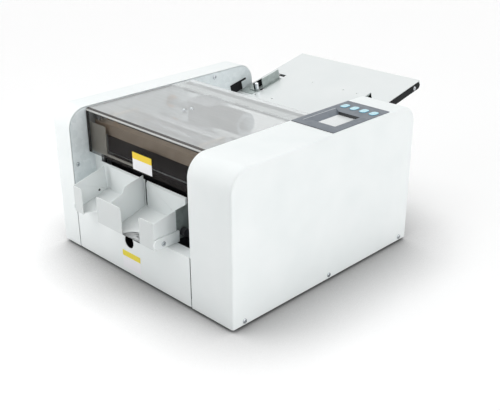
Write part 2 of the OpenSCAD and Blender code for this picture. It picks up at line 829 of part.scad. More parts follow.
module cutter_motor() color("dimgray") in_frame() difference() {
    plate_x = cutter_motor_x[0] - cutter_plate_t;
    union() {
        rod_x(cutter_motor_x[0], cutter_motor_x[1] - cutter_motor_x[0], cutter_pinion_axis, cutter_motor_r);
        box([plate_x, cutter_plate_y[0], cutter_plate_z[0]],
            [cutter_motor_x[0], cutter_plate_y[1], cutter_plate_z[1]]);
        for (at = cutter_posts)
            rod_x(pass_r + plate_t, plate_x - pass_r - plate_t, at, cutter_post_r);
    }
    rod_x(plate_x - 5, 30, cutter_pinion_axis, pinion_shaft_r + run_gap);
}

module power_supply() color("lightgray") in_frame() difference() {
    box([supply_low[0], supply_low[1], base_t], supply_high);
    for (k = [0 : fin_count - 1]) let (y = supply_low[1] + fin_pitch * (k + 1) + 2)
        box([supply_low[0] - 1, y, 14], [supply_low[0] + 2, y + fin_w, 36]);
}

// Board on four posts, with three coils, four capacitors and a connector
module circuit_board() color("darkgreen") in_frame() {
    face_x = board_x + board_sheet_t;
    box([board_x, board_y[0], board_span_z[0]], [face_x, board_y[1], board_span_z[1]]);
    for (y = board_posts_y, z = board_posts_z)
        rod_x(pass_r + plate_t, board_x - pass_r - plate_t, [y, z], board_post_r);
    for (k = [0 : 2]) box([face_x, 250 + k * 36, 90], [338, 274 + k * 36, 106]);
    for (k = [0 : 3]) rod_x(face_x, 14, [252 + k * 26, 140], 8);
    box([face_x, 300, 154], [330, 350, 168]);
}

module power_inlet() color("black") in_frame() difference() {
    union() {
        box([inlet_x - inlet_rim, body_d, inlet_z - inlet_rim],
            [inlet_x + inlet_size[0] + inlet_rim, body_d + inlet_rim_t, inlet_z + inlet_size[1] + inlet_rim]);
        box([inlet_x + hair, body_d - inlet_depth, inlet_z + hair],
            [inlet_x + inlet_size[0] - hair, body_d, inlet_z + inlet_size[1] - hair]);
    }
    // Socket, with three blades left standing in it
    difference() {
        box([inlet_x + socket_x[0], body_d - socket_depth, inlet_z + socket_z[0]],
            [inlet_x + socket_x[1], body_d + 3, inlet_z + socket_z[1]]);
        for (x = blade_x) box([inlet_x + x - 1, body_d - socket_depth - 1, inlet_z + blade_z[0]],
            [inlet_x + x + 1, body_d - blade_setback, inlet_z + blade_z[1]]);
    }
    // Well of the rocker
    well = rocker_size / 2 + [0.4, 0.4];
    box([inlet_x + rocker_at[0] - well[0], body_d - well_depth, inlet_z + rocker_at[2] - well[1]],
        [inlet_x + rocker_at[0] + well[0], body_d + 3, inlet_z + rocker_at[2] + well[1]]);
}

// The rocker turns on the X axis through its own middle, and rests with its lower end pressed in
module power_rocker() color("black") in_frame()
    translate([inlet_x, body_d, inlet_z] + [rocker_at[0], -rocker_at[1], rocker_at[2]])
        rotate([-rocker_tilt, 0, 0]) difference() {
            rod_x(-rocker_size[0] / 2, rocker_size[0], [0, 0], rocker_r - 1.5);
            box([-9, -20, -14], [9, -6, 14]);
            rod_x(-9, 18, [17, 0], 9);
        }

module control_bezel() color("slategray") in_frame() {
    recess_end = [recess[0] + recess[2], recess[1] + recess[3]];
    difference() {
        union() {
            box([bezel_x, bezel_y, body_h], [bezel_x + bezel_w, bezel_y + bezel_d, body_h + bezel_t]);
            box([slope_x - 1, bezel_y + 12, display_z], [recess_end[0] + shell_wall, slope_y[1] + 1.5, body_h]);
        }
        translate([0, 0, display_z - 1]) linear_extrude(10) polygon([
            [slope_x, slope_y[0]], [recess[0], recess[1]], [recess_end[0], recess[1]],
            recess_end, [recess[0], recess_end[1]], [slope_x, slope_y[1]]]);
        for (k = [0 : 3]) translate([button_x + k * button_pitch, button_y, body_h - 1])
            linear_extrude(bezel_t + 2) stadium(button_size + 2 * [button_gap, button_gap]);
    }
    // Sloping side of the display's recess
    along_y(slope_y[0], slope_y[1] - slope_y[0]) polygon([
        [slope_x - slope_t, body_h + bezel_t], [slope_x + slope_t, body_h + bezel_t],
        [recess[0], display_z], [slope_x - slope_t, display_z]]);
    for (x = [bezel_x + bezel_post_x[0], bezel_x + bezel_w - bezel_post_x[1]],
         y = [bezel_y + bezel_post_y[0], bezel_y + bezel_d - bezel_post_y[1]])
        translate([x, y, board_z + board_t]) cylinder(h = body_h - board_z - board_t, r = bezel_post_r);
}

module display_module() color("white") in_frame() {
    board_top = board_z + board_t;
    box([bezel_x + board_margin[0], bezel_y + board_margin_y[0], board_z],
        [bezel_x + bezel_w - board_margin[1], bezel_y + bezel_d - board_margin_y[1], board_top]);
    box([recess[0] - 3, recess[1] - 2, board_top],
        [recess[0] + recess[2] + 2, recess[1] + recess[3] + 2, display_z]);
}

// An oval button with a collar that stops it under the bezel
module panel_button(k) color("skyblue") in_frame()
    translate([button_x + k * button_pitch, button_y, button_low_z]) {
        linear_extrude(body_h + bezel_t + button_rise - button_low_z) stadium(button_size);
        linear_extrude(button_collar_h) stadium(button_size + 2 * [button_collar, button_collar]);
    }

// ---- Window ----

module window_cover() color("dimgray", 0.7) in_frame() difference() {
    union() {
        box([window_l, window_front_y, window_top_z - window_t],
            [window_l + window_w, hinge_y - knuckle_r, window_top_z]);
        box([window_l, window_front_y, window_low_z],
            [window_l + window_w, window_front_y + window_t, window_top_z]);
        for (k = [1 : 2 : knuckle_count - 1]) knuckle(k, 1);
    }
    rod_x(window_l - 1, window_w + 2, [hinge_y, hinge_z], hinge_pin_r + run_gap);
    for (at = window_screw_places) translate([at[0], at[1], window_top_z - 10]) cylinder(h = 20, r = screw_r);
    // Round outer edge of the bend
    difference() {
        box([window_l - 1, window_front_y - 1, window_top_z - bend_r],
            [window_l + window_w + 1, window_front_y + bend_r, window_top_z + 1]);
        rod_x(window_l - 2, window_w + 4, [window_front_y + bend_r, window_top_z - bend_r], bend_r);
    }
}

module window_screws() color("gainsboro") in_frame() for (at = window_screw_places)
    translate([at[0], at[1], window_top_z]) {
        intersection() {
            translate([0, 0, -dome_flat]) sphere(r = dome_r);
            cylinder(h = dome_r, r = dome_r - 0.4);
        }
        translate([0, 0, -window_t - nut_h - 0.5]) cylinder(h = window_t + nut_h + 0.5, r = screw_r);
        translate([0, 0, -window_t - nut_h]) cylinder(h = nut_h, r = nut_r, $fn = 6);
    }

// ---- Waste drawer ----

module drawer_front() color("white") in_frame() difference() {
    union() {
        front_x = [pass_l + drawer_gap, pass_r - drawer_gap];
        box([front_x[0], 0, drawer_low_z], [front_x[1], sheet_t, drawer_h]);
        box([front_x[0], 0, drawer_h - sheet_t], [front_x[1], ledge_d, drawer_h]);
        box([front_x[0], ledge_d - sheet_t, ledge_lip_z], [front_x[1], ledge_d, drawer_h]);
    }
    rod_y(finger_hole[0], -1, finger_hole[1], 4, finger_hole_r);
}

module waste_bin() color("dimgray") in_frame() difference() {
    box([bin_l, sheet_t, base_t + bin_lift], [bin_l + bin_w, sheet_t + bin_d, base_t + bin_h]);
    box([bin_l + bin_t, sheet_t + bin_t, base_t + bin_lift + bin_t],
        [bin_l + bin_w - bin_t, sheet_t + bin_d - bin_t, base_t + bin_h + 1]);
    rod_y(finger_hole[0], 0, finger_hole[1], 4, finger_hole_r + 1.5);
}

// ---- Rollers, slitters and gears ----

// A shaft that runs from x to just outside the right frame plate
module slitter_shaft(x, at) rod_x(x, pass_r + 10 - x, at, shaft_r);
module lower_slitter_shaft() color("silver") in_frame() slitter_shaft(gear_x - 2 * shaft_stub, lower_slitter);
module upper_slitter_shaft() color("silver") in_frame() slitter_shaft(belt_x - shaft_stub, upper_slitter);

// Discs just left or right of each cut line, so that upper and lower discs pass side by side
module slitter_discs(at, side) for (x = cut_lines) difference() {
    union() {
        rod_x(side > 0 ? x + disc_play : x - disc_play - disc_t, disc_t, at, disc_r);
        rod_x(side > 0 ? x + disc_t : x - disc_t - hub_w, hub_w, at, hub_r);
    }
    rod_x(x - 20, 40, at, shaft_r);
}
module lower_slitter_discs() color("gainsboro") in_frame() slitter_discs(lower_slitter, -1);
module upper_slitter_discs() color("gainsboro") in_frame() slitter_discs(upper_slitter, 1);

module lower_slitter_gear() color("goldenrod") in_frame()
    gear_x(gear_x, gear_w, lower_slitter, tooth_module, slitter_teeth, 0, shaft_r);

module upper_slitter_gear() color("goldenrod") in_frame() difference() {
    union() {
        gear_x(gear_x, gear_w, upper_slitter, tooth_module, slitter_teeth,
            mesh_phase(lower_slitter, slitter_teeth, 0, upper_slitter, slitter_teeth), 0);
        rod_x(belt_x, belt_w, upper_slitter, slitter_pulley_r);
        rod_x(belt_x, gear_x - belt_x + 1, upper_slitter, hub_r - 1);
    }
    rod_x(belt_x - 1, 40, upper_slitter, shaft_r);
}

// A roller with four tyres and a pinion at its left end
module driven_roller(at, r, phase) {
    rod_x(gear_x - shaft_stub, pass_r + 8 - gear_x, at, shaft_r);
    for (x = tyre_places) rod_x(x - tyre_w / 2, tyre_w, at, r);
    gear_x(gear_x, gear_w, at, tooth_module, pinion_teeth, phase, 0);
}

function idler_phase(axis) = mesh_phase(lower_slitter, slitter_teeth, 0, axis, idler_teeth);

module feed_roller() color("dimgray") in_frame() driven_roller(feed_axis, roller_r,
    mesh_phase(feed_idler_axis, idler_teeth, idler_phase(feed_idler_axis), feed_axis, pinion_teeth));
module exit_roller() color("dimgray") in_frame() driven_roller(exit_axis, roller_r,
    mesh_phase(exit_idler_axis, idler_teeth, idler_phase(exit_idler_axis), exit_axis, pinion_teeth));

// A roller with four tyres, turned by the sheet and the driven roller under it
module pinch_roller(at) {
    rod_x(pass_l - plate_t - 2, pass_w + 2 * plate_t + 4, at, shaft_r);
    for (x = tyre_places) rod_x(x - tyre_w / 2, tyre_w, at, pinch_r);
}
module feed_pinch_roller() color("gray") in_frame() pinch_roller(feed_pinch_axis);
module exit_pinch_roller() color("gray") in_frame() pinch_roller(exit_pinch_axis);

// An idler turns on a stub that is part of it and runs in the left frame plate
module idler_gear(at) {
    gear_x(gear_x, gear_w, at, tooth_module, idler_teeth, idler_phase(at), 0);
    rod_x(gear_x - shaft_stub, pass_l + bearing_flange_t + 2 * shaft_stub - gear_x, at, shaft_r);
}
module feed_idler_gear() color("khaki") in_frame() idler_gear(feed_idler_axis);
module exit_idler_gear() color("khaki") in_frame() idler_gear(exit_idler_axis);

module motor_shaft() color("silver") in_frame() {
    rod_x(belt_x - shaft_stub, motor_end_x + motor_disc_t + 3 + shaft_stub - belt_x, motor_axis, shaft_r);
    rod_x(belt_x, belt_w, motor_axis, motor_pulley_r);
    rod_x(motor_end_x + 1, motor_disc_t, motor_axis, motor_disc_r);
}

// ---- Guillotine ----

module knife_beam() color("silver") in_frame() difference() {
    union() {
        box([beam_x[0], beam_y, beam_low_z], [beam_x[1], beam_y + beam_d, beam_low_z + beam_h]);
        for (x = eccentric_places) along_x(x + (eccentric_w - yoke_t) / 2, yoke_t) yoke_outline();
    }
    for (x = rod_places) translate([x, rod_y, beam_low_z - 1]) cylinder(h = beam_h + 2, r = rod_r + run_gap);
}

// The yoke around an eccentric that stands at its highest point
module yoke_outline() {
    throw = knife_stroke / 2;
    half_h = eccentric_r + yoke_play;
    half_d = eccentric_r + throw + yoke_play;
    mid_z = cutter_axis[1] + throw;
    difference() {
        translate([beam_y + beam_d, mid_z - half_h - yoke_wall])
            square([cutter_axis[0] + half_d + yoke_wall - beam_y - beam_d, 2 * (half_h + yoke_wall) - 2]);
        translate([cutter_axis[0] - half_d, mid_z - half_h]) square([2 * half_d, 2 * half_h]);
    }
}

module moving_knife() color("gainsboro") in_frame() along_y(moving_knife_y, moving_knife_t)
    polygon([[knife_l, path_z + knife_open], [knife_l, beam_low_z], [knife_l + knife_w, beam_low_z],
        [knife_l + knife_w, path_z + knife_open + knife_rise]]);

module cutter_shaft() color("silver") in_frame() {
    rod_x(pass_l - plate_t - 2, cutter_gear_x + cutter_gear_w + 4 - pass_l + plate_t, cutter_axis, shaft_r);
    for (x = eccentric_places) rod_x(x, eccentric_w, cutter_axis + [0, knife_stroke / 2], eccentric_r);
    gear_x(cutter_gear_x, cutter_gear_w, cutter_axis, cutter_module, cutter_teeth, 0, 0);
}

module cutter_pinion() color("goldenrod") in_frame() {
    gear_x(cutter_gear_x, cutter_gear_w, cutter_pinion_axis, cutter_module, cutter_pinion_teeth,
        mesh_phase(cutter_axis, cutter_teeth, 0, cutter_pinion_axis, cutter_pinion_teeth), 0);
    rod_x(cutter_gear_x, 28, cutter_pinion_axis, pinion_shaft_r);
}

// ---- Screws ----

// A screw whose head stands on a face at x and points to the right (side 1) or the left (side -1)
module screw_x(x, at, side, shank) {
    span = side > 0 ? [x, x - shank] : [x - screw_head_h, x];
    rod_x(span[0], screw_head_h, at, screw_head_r);
    rod_x(span[1], shank, at, screw_r);
}

module screws() color("gainsboro") in_frame() {
    for (y = side_screw_y) {
        screw_x(body_w, [y, side_screw_z], 1, side_screw_l);
        screw_x(0, [y, side_screw_z], -1, side_screw_l);
    }
    for (at = frame_screws) {
        screw_x(pass_l, at, 1, side_screw_l);
        screw_x(pass_r, at, -1, side_screw_l);
    }
    // Screws through the frame plates into the tie bars
    for (at = tie_bar_places) {
        screw_x(pass_l - plate_t, at, -1, plate_t + tie_screw_depth - 1);
        screw_x(pass_r + plate_t, at, 1, plate_t + tie_screw_depth - 1);
    }
    // Screws of the tray's arms, and the round nut beside the tray
    screw_x(tray_x + tray_w + arm_t, arm_screw, 1, arm_t);
    screw_x(tray_x - arm_t, arm_screw, -1, arm_t);
    rod_x(tray_x + tray_w, tray_knob_w, tray_knob, tray_knob_r);
}

base_plate();
rubber_feet();
left_frame_plate();
right_frame_plate();
left_cover();
right_cover();
exit_plate();
exit_side_plate();
rear_panel();
tie_bars();
rear_strip();
hinge_pin();
shaft_bearings();
knife_guides();
fixed_knife();
paper_deck();
card_tray();
tray_divider();
tray_arms();
feed_table();
table_rails();
drive_motor();
drive_belt();
cutter_motor();
power_supply();
circuit_board();
control_bezel();
display_module();
power_inlet();
screws();
window_cover();
window_screws();
drawer_front();
waste_bin();
lower_slitter_shaft();
lower_slitter_discs();
lower_slitter_gear();
upper_slitter_shaft();
upper_slitter_discs();
upper_slitter_gear();
feed_roller();
feed_pinch_roller();
exit_roller();
exit_pinch_roller();
feed_idler_gear();
exit_idler_gear();
motor_shaft();
knife_beam();
moving_knife();
cutter_shaft();
cutter_pinion();
left_guide();
right_guide();
left_guide_knob();
right_guide_knob();
panel_button(0);  // button_1
panel_button(1);  // button_2
panel_button(2);  // button_3
panel_button(3);  // button_4
power_rocker();
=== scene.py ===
"""Dresses a desktop card cutter: enamelled covers, smoked window, card tray, feed table and the works inside.

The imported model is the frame. Every piece is modelled in cabinet millimetres: X runs to the right from the
left cover's outer face, Y to the back from the covers' front plane and Z up from the covers' lower edge. A
piece is turned to metres in the frame as the last step of its making.
"""

from __future__ import annotations

import json
import logging
import math
from abc import ABC, abstractmethod
from dataclasses import dataclass
from enum import Enum
from typing import Any, Callable, Iterable, Iterator, Mapping, Sequence

import bmesh
import bpy
from mathutils import Matrix, Vector

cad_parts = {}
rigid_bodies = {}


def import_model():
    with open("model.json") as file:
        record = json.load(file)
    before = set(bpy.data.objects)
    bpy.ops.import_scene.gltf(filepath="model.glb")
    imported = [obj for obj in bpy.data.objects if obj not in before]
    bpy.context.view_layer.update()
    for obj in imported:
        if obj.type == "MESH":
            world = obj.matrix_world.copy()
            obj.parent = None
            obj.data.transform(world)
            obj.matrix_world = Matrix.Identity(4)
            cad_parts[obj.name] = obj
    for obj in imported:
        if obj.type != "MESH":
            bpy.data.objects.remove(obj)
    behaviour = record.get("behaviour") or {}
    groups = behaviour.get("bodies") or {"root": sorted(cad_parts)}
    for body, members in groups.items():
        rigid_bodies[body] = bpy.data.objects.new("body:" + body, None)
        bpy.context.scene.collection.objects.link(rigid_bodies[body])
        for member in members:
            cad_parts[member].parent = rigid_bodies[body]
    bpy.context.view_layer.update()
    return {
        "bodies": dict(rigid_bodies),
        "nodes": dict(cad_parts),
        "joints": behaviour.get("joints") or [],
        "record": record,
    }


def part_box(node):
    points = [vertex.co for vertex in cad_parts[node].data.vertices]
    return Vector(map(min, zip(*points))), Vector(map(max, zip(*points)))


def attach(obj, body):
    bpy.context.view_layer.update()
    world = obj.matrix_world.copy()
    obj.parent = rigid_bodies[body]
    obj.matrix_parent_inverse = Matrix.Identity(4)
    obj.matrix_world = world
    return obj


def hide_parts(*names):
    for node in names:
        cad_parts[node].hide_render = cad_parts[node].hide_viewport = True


log = logging.getLogger("card_cutter")

MM = 0.001
SHARP = math.radians(30)  # turn of an edge that shows as a crease
NEAR = 1e-4  # millimetres between points that count as one
MERGE = 1e-3  # millimetres between points that are merged

Point = Sequence[float]
Socket = bpy.types.NodeSocket
FaceTest = Callable[[Vector, Vector], bool]


# ---- Materials ----


def linear(hex_colour: str) -> tuple[float, float, float, float]:
    """Turn an sRGB colour into the linear values that a shader takes.

    Args:
        hex_colour: Six hex digits, such as "F4F8F8".

    Returns:
        Red, green and blue in linear light, and an alpha of 1.
    """
    channels = [int(hex_colour[k : k + 2], 16) / 255 for k in (0, 2, 4)]
    red, green, blue = (c / 12.92 if c <= 0.04045 else ((c + 0.055) / 1.055) ** 2.4 for c in channels)
    return red, green, blue, 1.0


def add_node(
    tree: bpy.types.NodeTree,
    kind: str,
    values: Mapping[str | int, Any] | None = None,
    links: Mapping[str | int, Socket] | None = None,
    **settings: Any,
) -> bpy.types.Node:
    """Add one node with its settings, input values and incoming links.

    Args:
        tree: Node tree that takes the node.
        kind: Type name of the node.
        values: Constant for each input, by name or index.
        links: Socket that feeds each input, by name or index.
        **settings: Properties of the node itself.

    Returns:
        The new node.
    """
    node = tree.nodes.new(kind)
    for name, value in settings.items():
        setattr(node, name, value)
    for key, value in (values or {}).items():
        node.inputs[key].default_value = value
    for key, socket in (links or {}).items():
        tree.links.new(socket, node.inputs[key])
    return node


class Metal(Enum):
    """Bare colours of the metals used, in sRGB hex."""

    ZINC = "E6EDEF"
    STEEL = "BEC2C5"
    CHROME = "D3D6D9"
    ALUMINIUM = "D3D6D9"
    ANODISED = "E8D8C4"
    OXIDE = "333336"
    BRASS = "D0A95A"
    BRONZE = "B0804F"
    COPPER = "C77F58"


class Skin:
    """A material under construction, with patterns measured in millimetres on the object."""

    def __init__(self, name: str) -> None:
        """Start a material.

        Args:
            name: Name of the material.
        """
        self.material = bpy.data.materials.new(name)
        self.material.use_nodes = True
        self.tree = self.material.node_tree
        self.tree.nodes.clear()
        self.shader = add_node(self.tree, "ShaderNodeBsdfPrincipled")
        whole = add_node(self.tree, "ShaderNodeTexCoord").outputs["Object"]
        scaled = add_node(self.tree, "ShaderNodeMapping", {"Scale": (1 / MM,) * 3}, {"Vector": whole})
        self.place: Socket = scaled.outputs["Vector"]
        add_node(self.tree, "ShaderNodeOutputMaterial", links={"Surface": self.shader.outputs["BSDF"]})

    def even(self, values: Mapping[str, float]) -> None:
        """Set inputs of the shader that are the same all over."""
        for name, value in values.items():
            self.shader.inputs[name].default_value = value

    def grain(self, size_mm: float, stretch: Point = (1, 1, 1), detail: float = 2.0) -> Socket:
        """Make noise whose grains have a real size.

        Args:
            size_mm: Size of one grain.
            stretch: How many times longer a grain is along each axis.
            detail: Octaves of finer noise.

        Returns:
            The noise value's socket.
        """
        scale = [1 / (size_mm * s) for s in stretch]
        fitted = add_node(self.tree, "ShaderNodeMapping", {"Scale": scale}, {"Vector": self.place}).outputs[0]
        fineness = {"Scale": 1.0, "Detail": detail}
        return add_node(self.tree, "ShaderNodeTexNoise", fineness, {"Vector": fitted}).outputs["Fac"]

    def tiles(
        self, place: Socket, size: tuple[float, float], gap: float, tone: float, offset: float
    ) -> Socket:
        """Make rows of tiles with gaps between them.

        Args:
            place: Place in millimetres, with X along the rows and Y across them.
            size: Length and width of a tile.
            gap: Half width of a gap.
            tone: Grey of every other tile.
            offset: Shift of every other row, as a share of a tile.

        Returns:
            A socket that is 1 in the gaps and 0 on the tiles.
        """
        values = {
            "Color1": (0, 0, 0, 1),
            "Color2": (tone, tone, tone, 1),
            "Mortar": (1, 1, 1, 1),
            "Scale": 1.0,
            "Mortar Size": gap,
            "Brick Width": size[0],
            "Row Height": size[1],
        }
        rows = add_node(self.tree, "ShaderNodeTexBrick", values, {"Vector": place}, offset=offset)
        return rows.outputs["Fac"]

    def spread(self, noise: Socket, low: float = 0.0, high: float = 1.0) -> Socket:
        """Spread a noise value, which keeps to 0.3 to 0.7, over low to high."""
        ends = {"From Min": 0.3, "From Max": 0.7, "To Min": low, "To Max": high}
        return add_node(self.tree, "ShaderNodeMapRange", ends, {"Value": noise}).outputs["Result"]

    def coloured(self, factor: Socket, first: str, second: str) -> None:
        """Mix two colours for the base colour.

        Args:
            factor: Share of the second colour.
            first: First colour in sRGB hex.
            second: Second colour in sRGB hex.
        """
        ends = {6: linear(first), 7: linear(second)}
        mix = add_node(self.tree, "ShaderNodeMix", ends, {0: factor}, data_type="RGBA")
        self.tree.links.new(mix.outputs[2], self.shader.inputs["Base Color"])

    def rough(self, noise: Socket, low: float, high: float) -> None:
        """Let the roughness follow a noise value from low to high."""
        self.tree.links.new(self.spread(noise, low, high), self.shader.inputs["Roughness"])

    def raised(self, height: Socket, depth_mm: float, strength: float) -> None:
        """Let the surface rise and fall.

        Args:
            height: Height from 0 to 1.
            depth_mm: Real height of 1.
            strength: How strongly that bends the light.
        """
        depth = {"Strength": strength, "Distance": depth_mm * MM}
        bump = add_node(self.tree, "ShaderNodeBump", depth, {"Height": height})
        self.tree.links.new(bump.outputs["Normal"], self.shader.inputs["Normal"])


@dataclass(frozen=True)
class Finish(ABC):
    """What a surface is made of and how it was made.

    Attributes:
        name: Name of the material.
        slot: Material slot of the record that it dresses. Not used.
    """

    name: str
    slot: str

    def material(self) -> bpy.types.Material:
        """Make the finish's material, on the first call only.

        Returns:
            The material.
        """
        made = bpy.data.materials.get(self.name)
        if made is None:
            skin = Skin(self.name)
            self.dress(skin)
            made = skin.material
        return made

    @abstractmethod
    def dress(self, skin: Skin) -> None:
        """Give a skin this finish's colour, gloss and relief.

        Args:
            skin: The material under construction.
        """


@dataclass(frozen=True)
class PowderCoat(Finish):
    """Polyester powder sprayed on steel sheet and baked: an even satin skin with a faint orange peel.

    Attributes:
        colour: Colour of the film.
        thin: Colour where the film lies thinner, over tens of millimetres.
        roughness: Middle roughness.
        peel_mm: Spacing of the orange peel, drawn a little coarser than the real 1 mm so that it shows.
        peel_strength: How strongly the orange peel bends the light.
        coat: Share of a clear gloss on top.
        specular: Strength of the film's own reflection, where 0.5 is plain resin.
    """

    colour: str
    thin: str
    roughness: float = 0.4
    peel_mm: float = 1.8
    peel_strength: float = 0.3
    coat: float = 0.0
    specular: float = 0.5

    def dress(self, skin: Skin) -> None:
        """Make the film, its cloudy thickness and its peel."""
        skin.coloured(skin.spread(skin.grain(size_mm=70)), self.colour, self.thin)
        skin.rough(skin.grain(size_mm=18), self.roughness - 0.04, self.roughness + 0.05)
        skin.even({"IOR": 1.5, "Specular IOR Level": self.specular})
        skin.even({"Coat Weight": self.coat, "Coat Roughness": 0.08, "Coat IOR": 2.0})
        skin.raised(skin.grain(self.peel_mm), depth_mm=0.02, strength=self.peel_strength)


@dataclass(frozen=True)
class ZincDip(Finish):
    """Steel sheet dipped in zinc: flat crystals a few millimetres wide, each with its own tint and gloss.

    Attributes:
        colour: Colour of a light crystal.
        dark: Colour of a dull crystal.
        spangle_mm: Width of a crystal.
        metallic: How metallic the skin looks, low where white zinc salts dull it.
    """

    colour: str = Metal.ZINC.value
    dark: str = "DCE4E6"
    spangle_mm: float = 7.0
    metallic: float = 0.1

    def dress(self, skin: Skin) -> None:
        """Make the crystals and the fine frost on them."""
        scale = {"Scale": 1 / self.spangle_mm}
        crystals = add_node(skin.tree, "ShaderNodeTexVoronoi", scale, {"Vector": skin.place}).outputs["Color"]
        each = add_node(skin.tree, "ShaderNodeSeparateColor", links={"Color": crystals}).outputs
        skin.coloured(each["Red"], self.colour, self.dark)
        dull = {"To Min": 0.34, "To Max": 0.5}
        gloss = add_node(skin.tree, "ShaderNodeMapRange", dull, {"Value": each["Green"]})
        skin.tree.links.new(gloss.outputs["Result"], skin.shader.inputs["Roughness"])
        skin.even({"Metallic": self.metallic})
        skin.raised(skin.grain(size_mm=1.2), depth_mm=0.01, strength=0.25)


@dataclass(frozen=True)
class MachinedMetal(Finish):
    """Metal cut, ground or turned: fine parallel marks run one way and break up the highlight.

    Attributes:
        metal: Which metal it is.
        dark: Colour under a trace of oil, which lies in patches.
        marks: How many times longer a mark is along each axis.
        mark_mm: Spacing of the marks, drawn coarser than the real 0.05 mm so that they show.
        roughness: Middle roughness.
    """

    metal: Metal
    dark: str
    marks: tuple[float, float, float] = (30, 1, 1)
    mark_mm: float = 0.5
    roughness: float = 0.28

    def dress(self, skin: Skin) -> None:
        """Make the marks and the film of oil."""
        marks = skin.grain(self.mark_mm, self.marks)
        skin.coloured(skin.spread(skin.grain(size_mm=14), high=0.7), self.metal.value, self.dark)
        skin.rough(marks, self.roughness - 0.08, self.roughness + 0.12)
        skin.even({"Metallic": 1.0})
        skin.raised(marks, depth_mm=0.02, strength=0.3)


@dataclass(frozen=True)
class Plating(Finish):
    """Bright chromium or nickel plated on a turned part: mirror-like, with faint waves left by polishing.

    Attributes:
        metal: Colour of the plating.
        roughness: Least roughness.
    """

    metal: Metal = Metal.CHROME
    roughness: float = 0.1

    def dress(self, skin: Skin) -> None:
        """Make the polished waves."""
        waves = skin.grain(size_mm=3)
        skin.coloured(waves, self.metal.value, "C8CCD0")
        skin.rough(waves, self.roughness, self.roughness + 0.08)
        skin.even({"Metallic": 1.0})
        skin.raised(waves, depth_mm=0.01, strength=0.1)


@dataclass(frozen=True)
class MouldedPlastic(Finish):
    """Plastic moulded against a spark-eroded die, which leaves a fine even grain.

    Attributes:
        colour: Colour of the plastic.
        rubbed: Colour where handling has polished it.
        roughness: Roughness where it isn't polished.
        depth_mm: Depth of the grain.
        grain_mm: Size of the grain, drawn a little coarser than the real 0.2 mm so that it shows.
    """

    colour: str
    rubbed: str
    roughness: float = 0.42
    depth_mm: float = 0.03
    grain_mm: float = 0.6

    def dress(self, skin: Skin) -> None:
        """Make the rubbed patches and the grain."""
        patch = skin.spread(skin.grain(size_mm=12))
        skin.coloured(patch, self.colour, self.rubbed)
        skin.rough(patch, self.roughness, self.roughness - 0.1)
        skin.even({"IOR": 1.54})
        skin.raised(skin.grain(self.grain_mm, detail=1.0), depth_mm=self.depth_mm, strength=0.4)


@dataclass(frozen=True)
class Rubber(Finish):
    """Vulcanised rubber: matt, with bloom that greys it in patches.

    Attributes:
        colour: Colour of clean rubber.
        bloom: Colour of the bloom.
    """

    colour: str
    bloom: str

    def dress(self, skin: Skin) -> None:
        """Make the bloom and the matt skin."""
        bloom = skin.spread(skin.grain(size_mm=5, detail=4.0))
        skin.coloured(bloom, self.colour, self.bloom)
        skin.rough(bloom, low=0.62, high=0.8)
        skin.even({"IOR": 1.52})
        skin.raised(skin.grain(size_mm=0.8), depth_mm=0.05, strength=0.4)


@dataclass(frozen=True)
class Acrylic(Finish):
    """Cast acrylic sheet, tinted through and through, with fine wiping scratches on its skin.

    Attributes:
        colour: Tint, or the pale painted reflection of the surroundings on the upper face.
        scuff: Colour of the scratches.
        opacity: How much one face hides. Light crosses two faces.
        roughness: Least roughness.
        specular: Strength of the mirror-like reflection, where 0.5 is plain acrylic.
    """

    colour: str
    scuff: str
    opacity: float
    roughness: float = 0.08
    specular: float = 0.5

    def dress(self, skin: Skin) -> None:
        """Make the tint and the wiping scratches."""
        wiped = skin.spread(skin.grain(size_mm=2, stretch=(40, 3, 3)))
        skin.coloured(wiped, self.colour, self.scuff)
        skin.rough(wiped, self.roughness, self.roughness + 0.06)
        skin.even({"IOR": 1.49, "Specular IOR Level": self.specular, "Alpha": self.opacity})


@dataclass(frozen=True)
class BoardLaminate(Finish):
    """Glass-cloth laminate under green solder mask, with copper tracks that show through it.

    Attributes:
        mask: Colour of the mask on bare laminate.
        track: Colour of the mask on copper.
        pitch_mm: Spacing of the tracks, drawn coarser than the real 0.6 mm so that they show.
    """

    mask: str = "17543A"
    track: str = "2C7A52"
    pitch_mm: float = 3.0

    def dress(self, skin: Skin) -> None:
        """Make the tracks, which run in the plane of an upright board."""
        upright = {"Rotation": (0, math.pi / 2, 0)}
        turned = add_node(skin.tree, "ShaderNodeMapping", upright, {"Vector": skin.place}).outputs[0]
        tracks = skin.tiles(turned, (self.pitch_mm * 4, self.pitch_mm), gap=0.35, tone=0.2, offset=0.5)
        skin.coloured(tracks, self.mask, self.track)
        skin.even({"Roughness": 0.3, "IOR": 1.55})
        skin.raised(tracks, depth_mm=0.05, strength=0.4)


@dataclass(frozen=True)
class TwoToneFoil(Finish):
    """Plain label foil, one flat colour over another, satin laminated and without any print on it.

    Attributes:
        upper: Colour of the upper band.
        lower: Colour of the rest.
        border_z: Height in metres at which the colours meet.
    """

    upper: str
    lower: str
    border_z: float

    def dress(self, skin: Skin) -> None:
        """Make the two colours and the satin film."""
        height = add_node(skin.tree, "ShaderNodeSeparateXYZ", links={"Vector": skin.place}).outputs["Z"]
        border = {1: self.border_z / MM}
        above = add_node(skin.tree, "ShaderNodeMath", border, {0: height}, operation="GREATER_THAN")
        skin.coloured(above.outputs[0], self.lower, self.upper)
        rub = skin.grain(size_mm=4)
        skin.rough(rub, low=0.32, high=0.42)
        skin.raised(rub, depth_mm=0.01, strength=0.1)


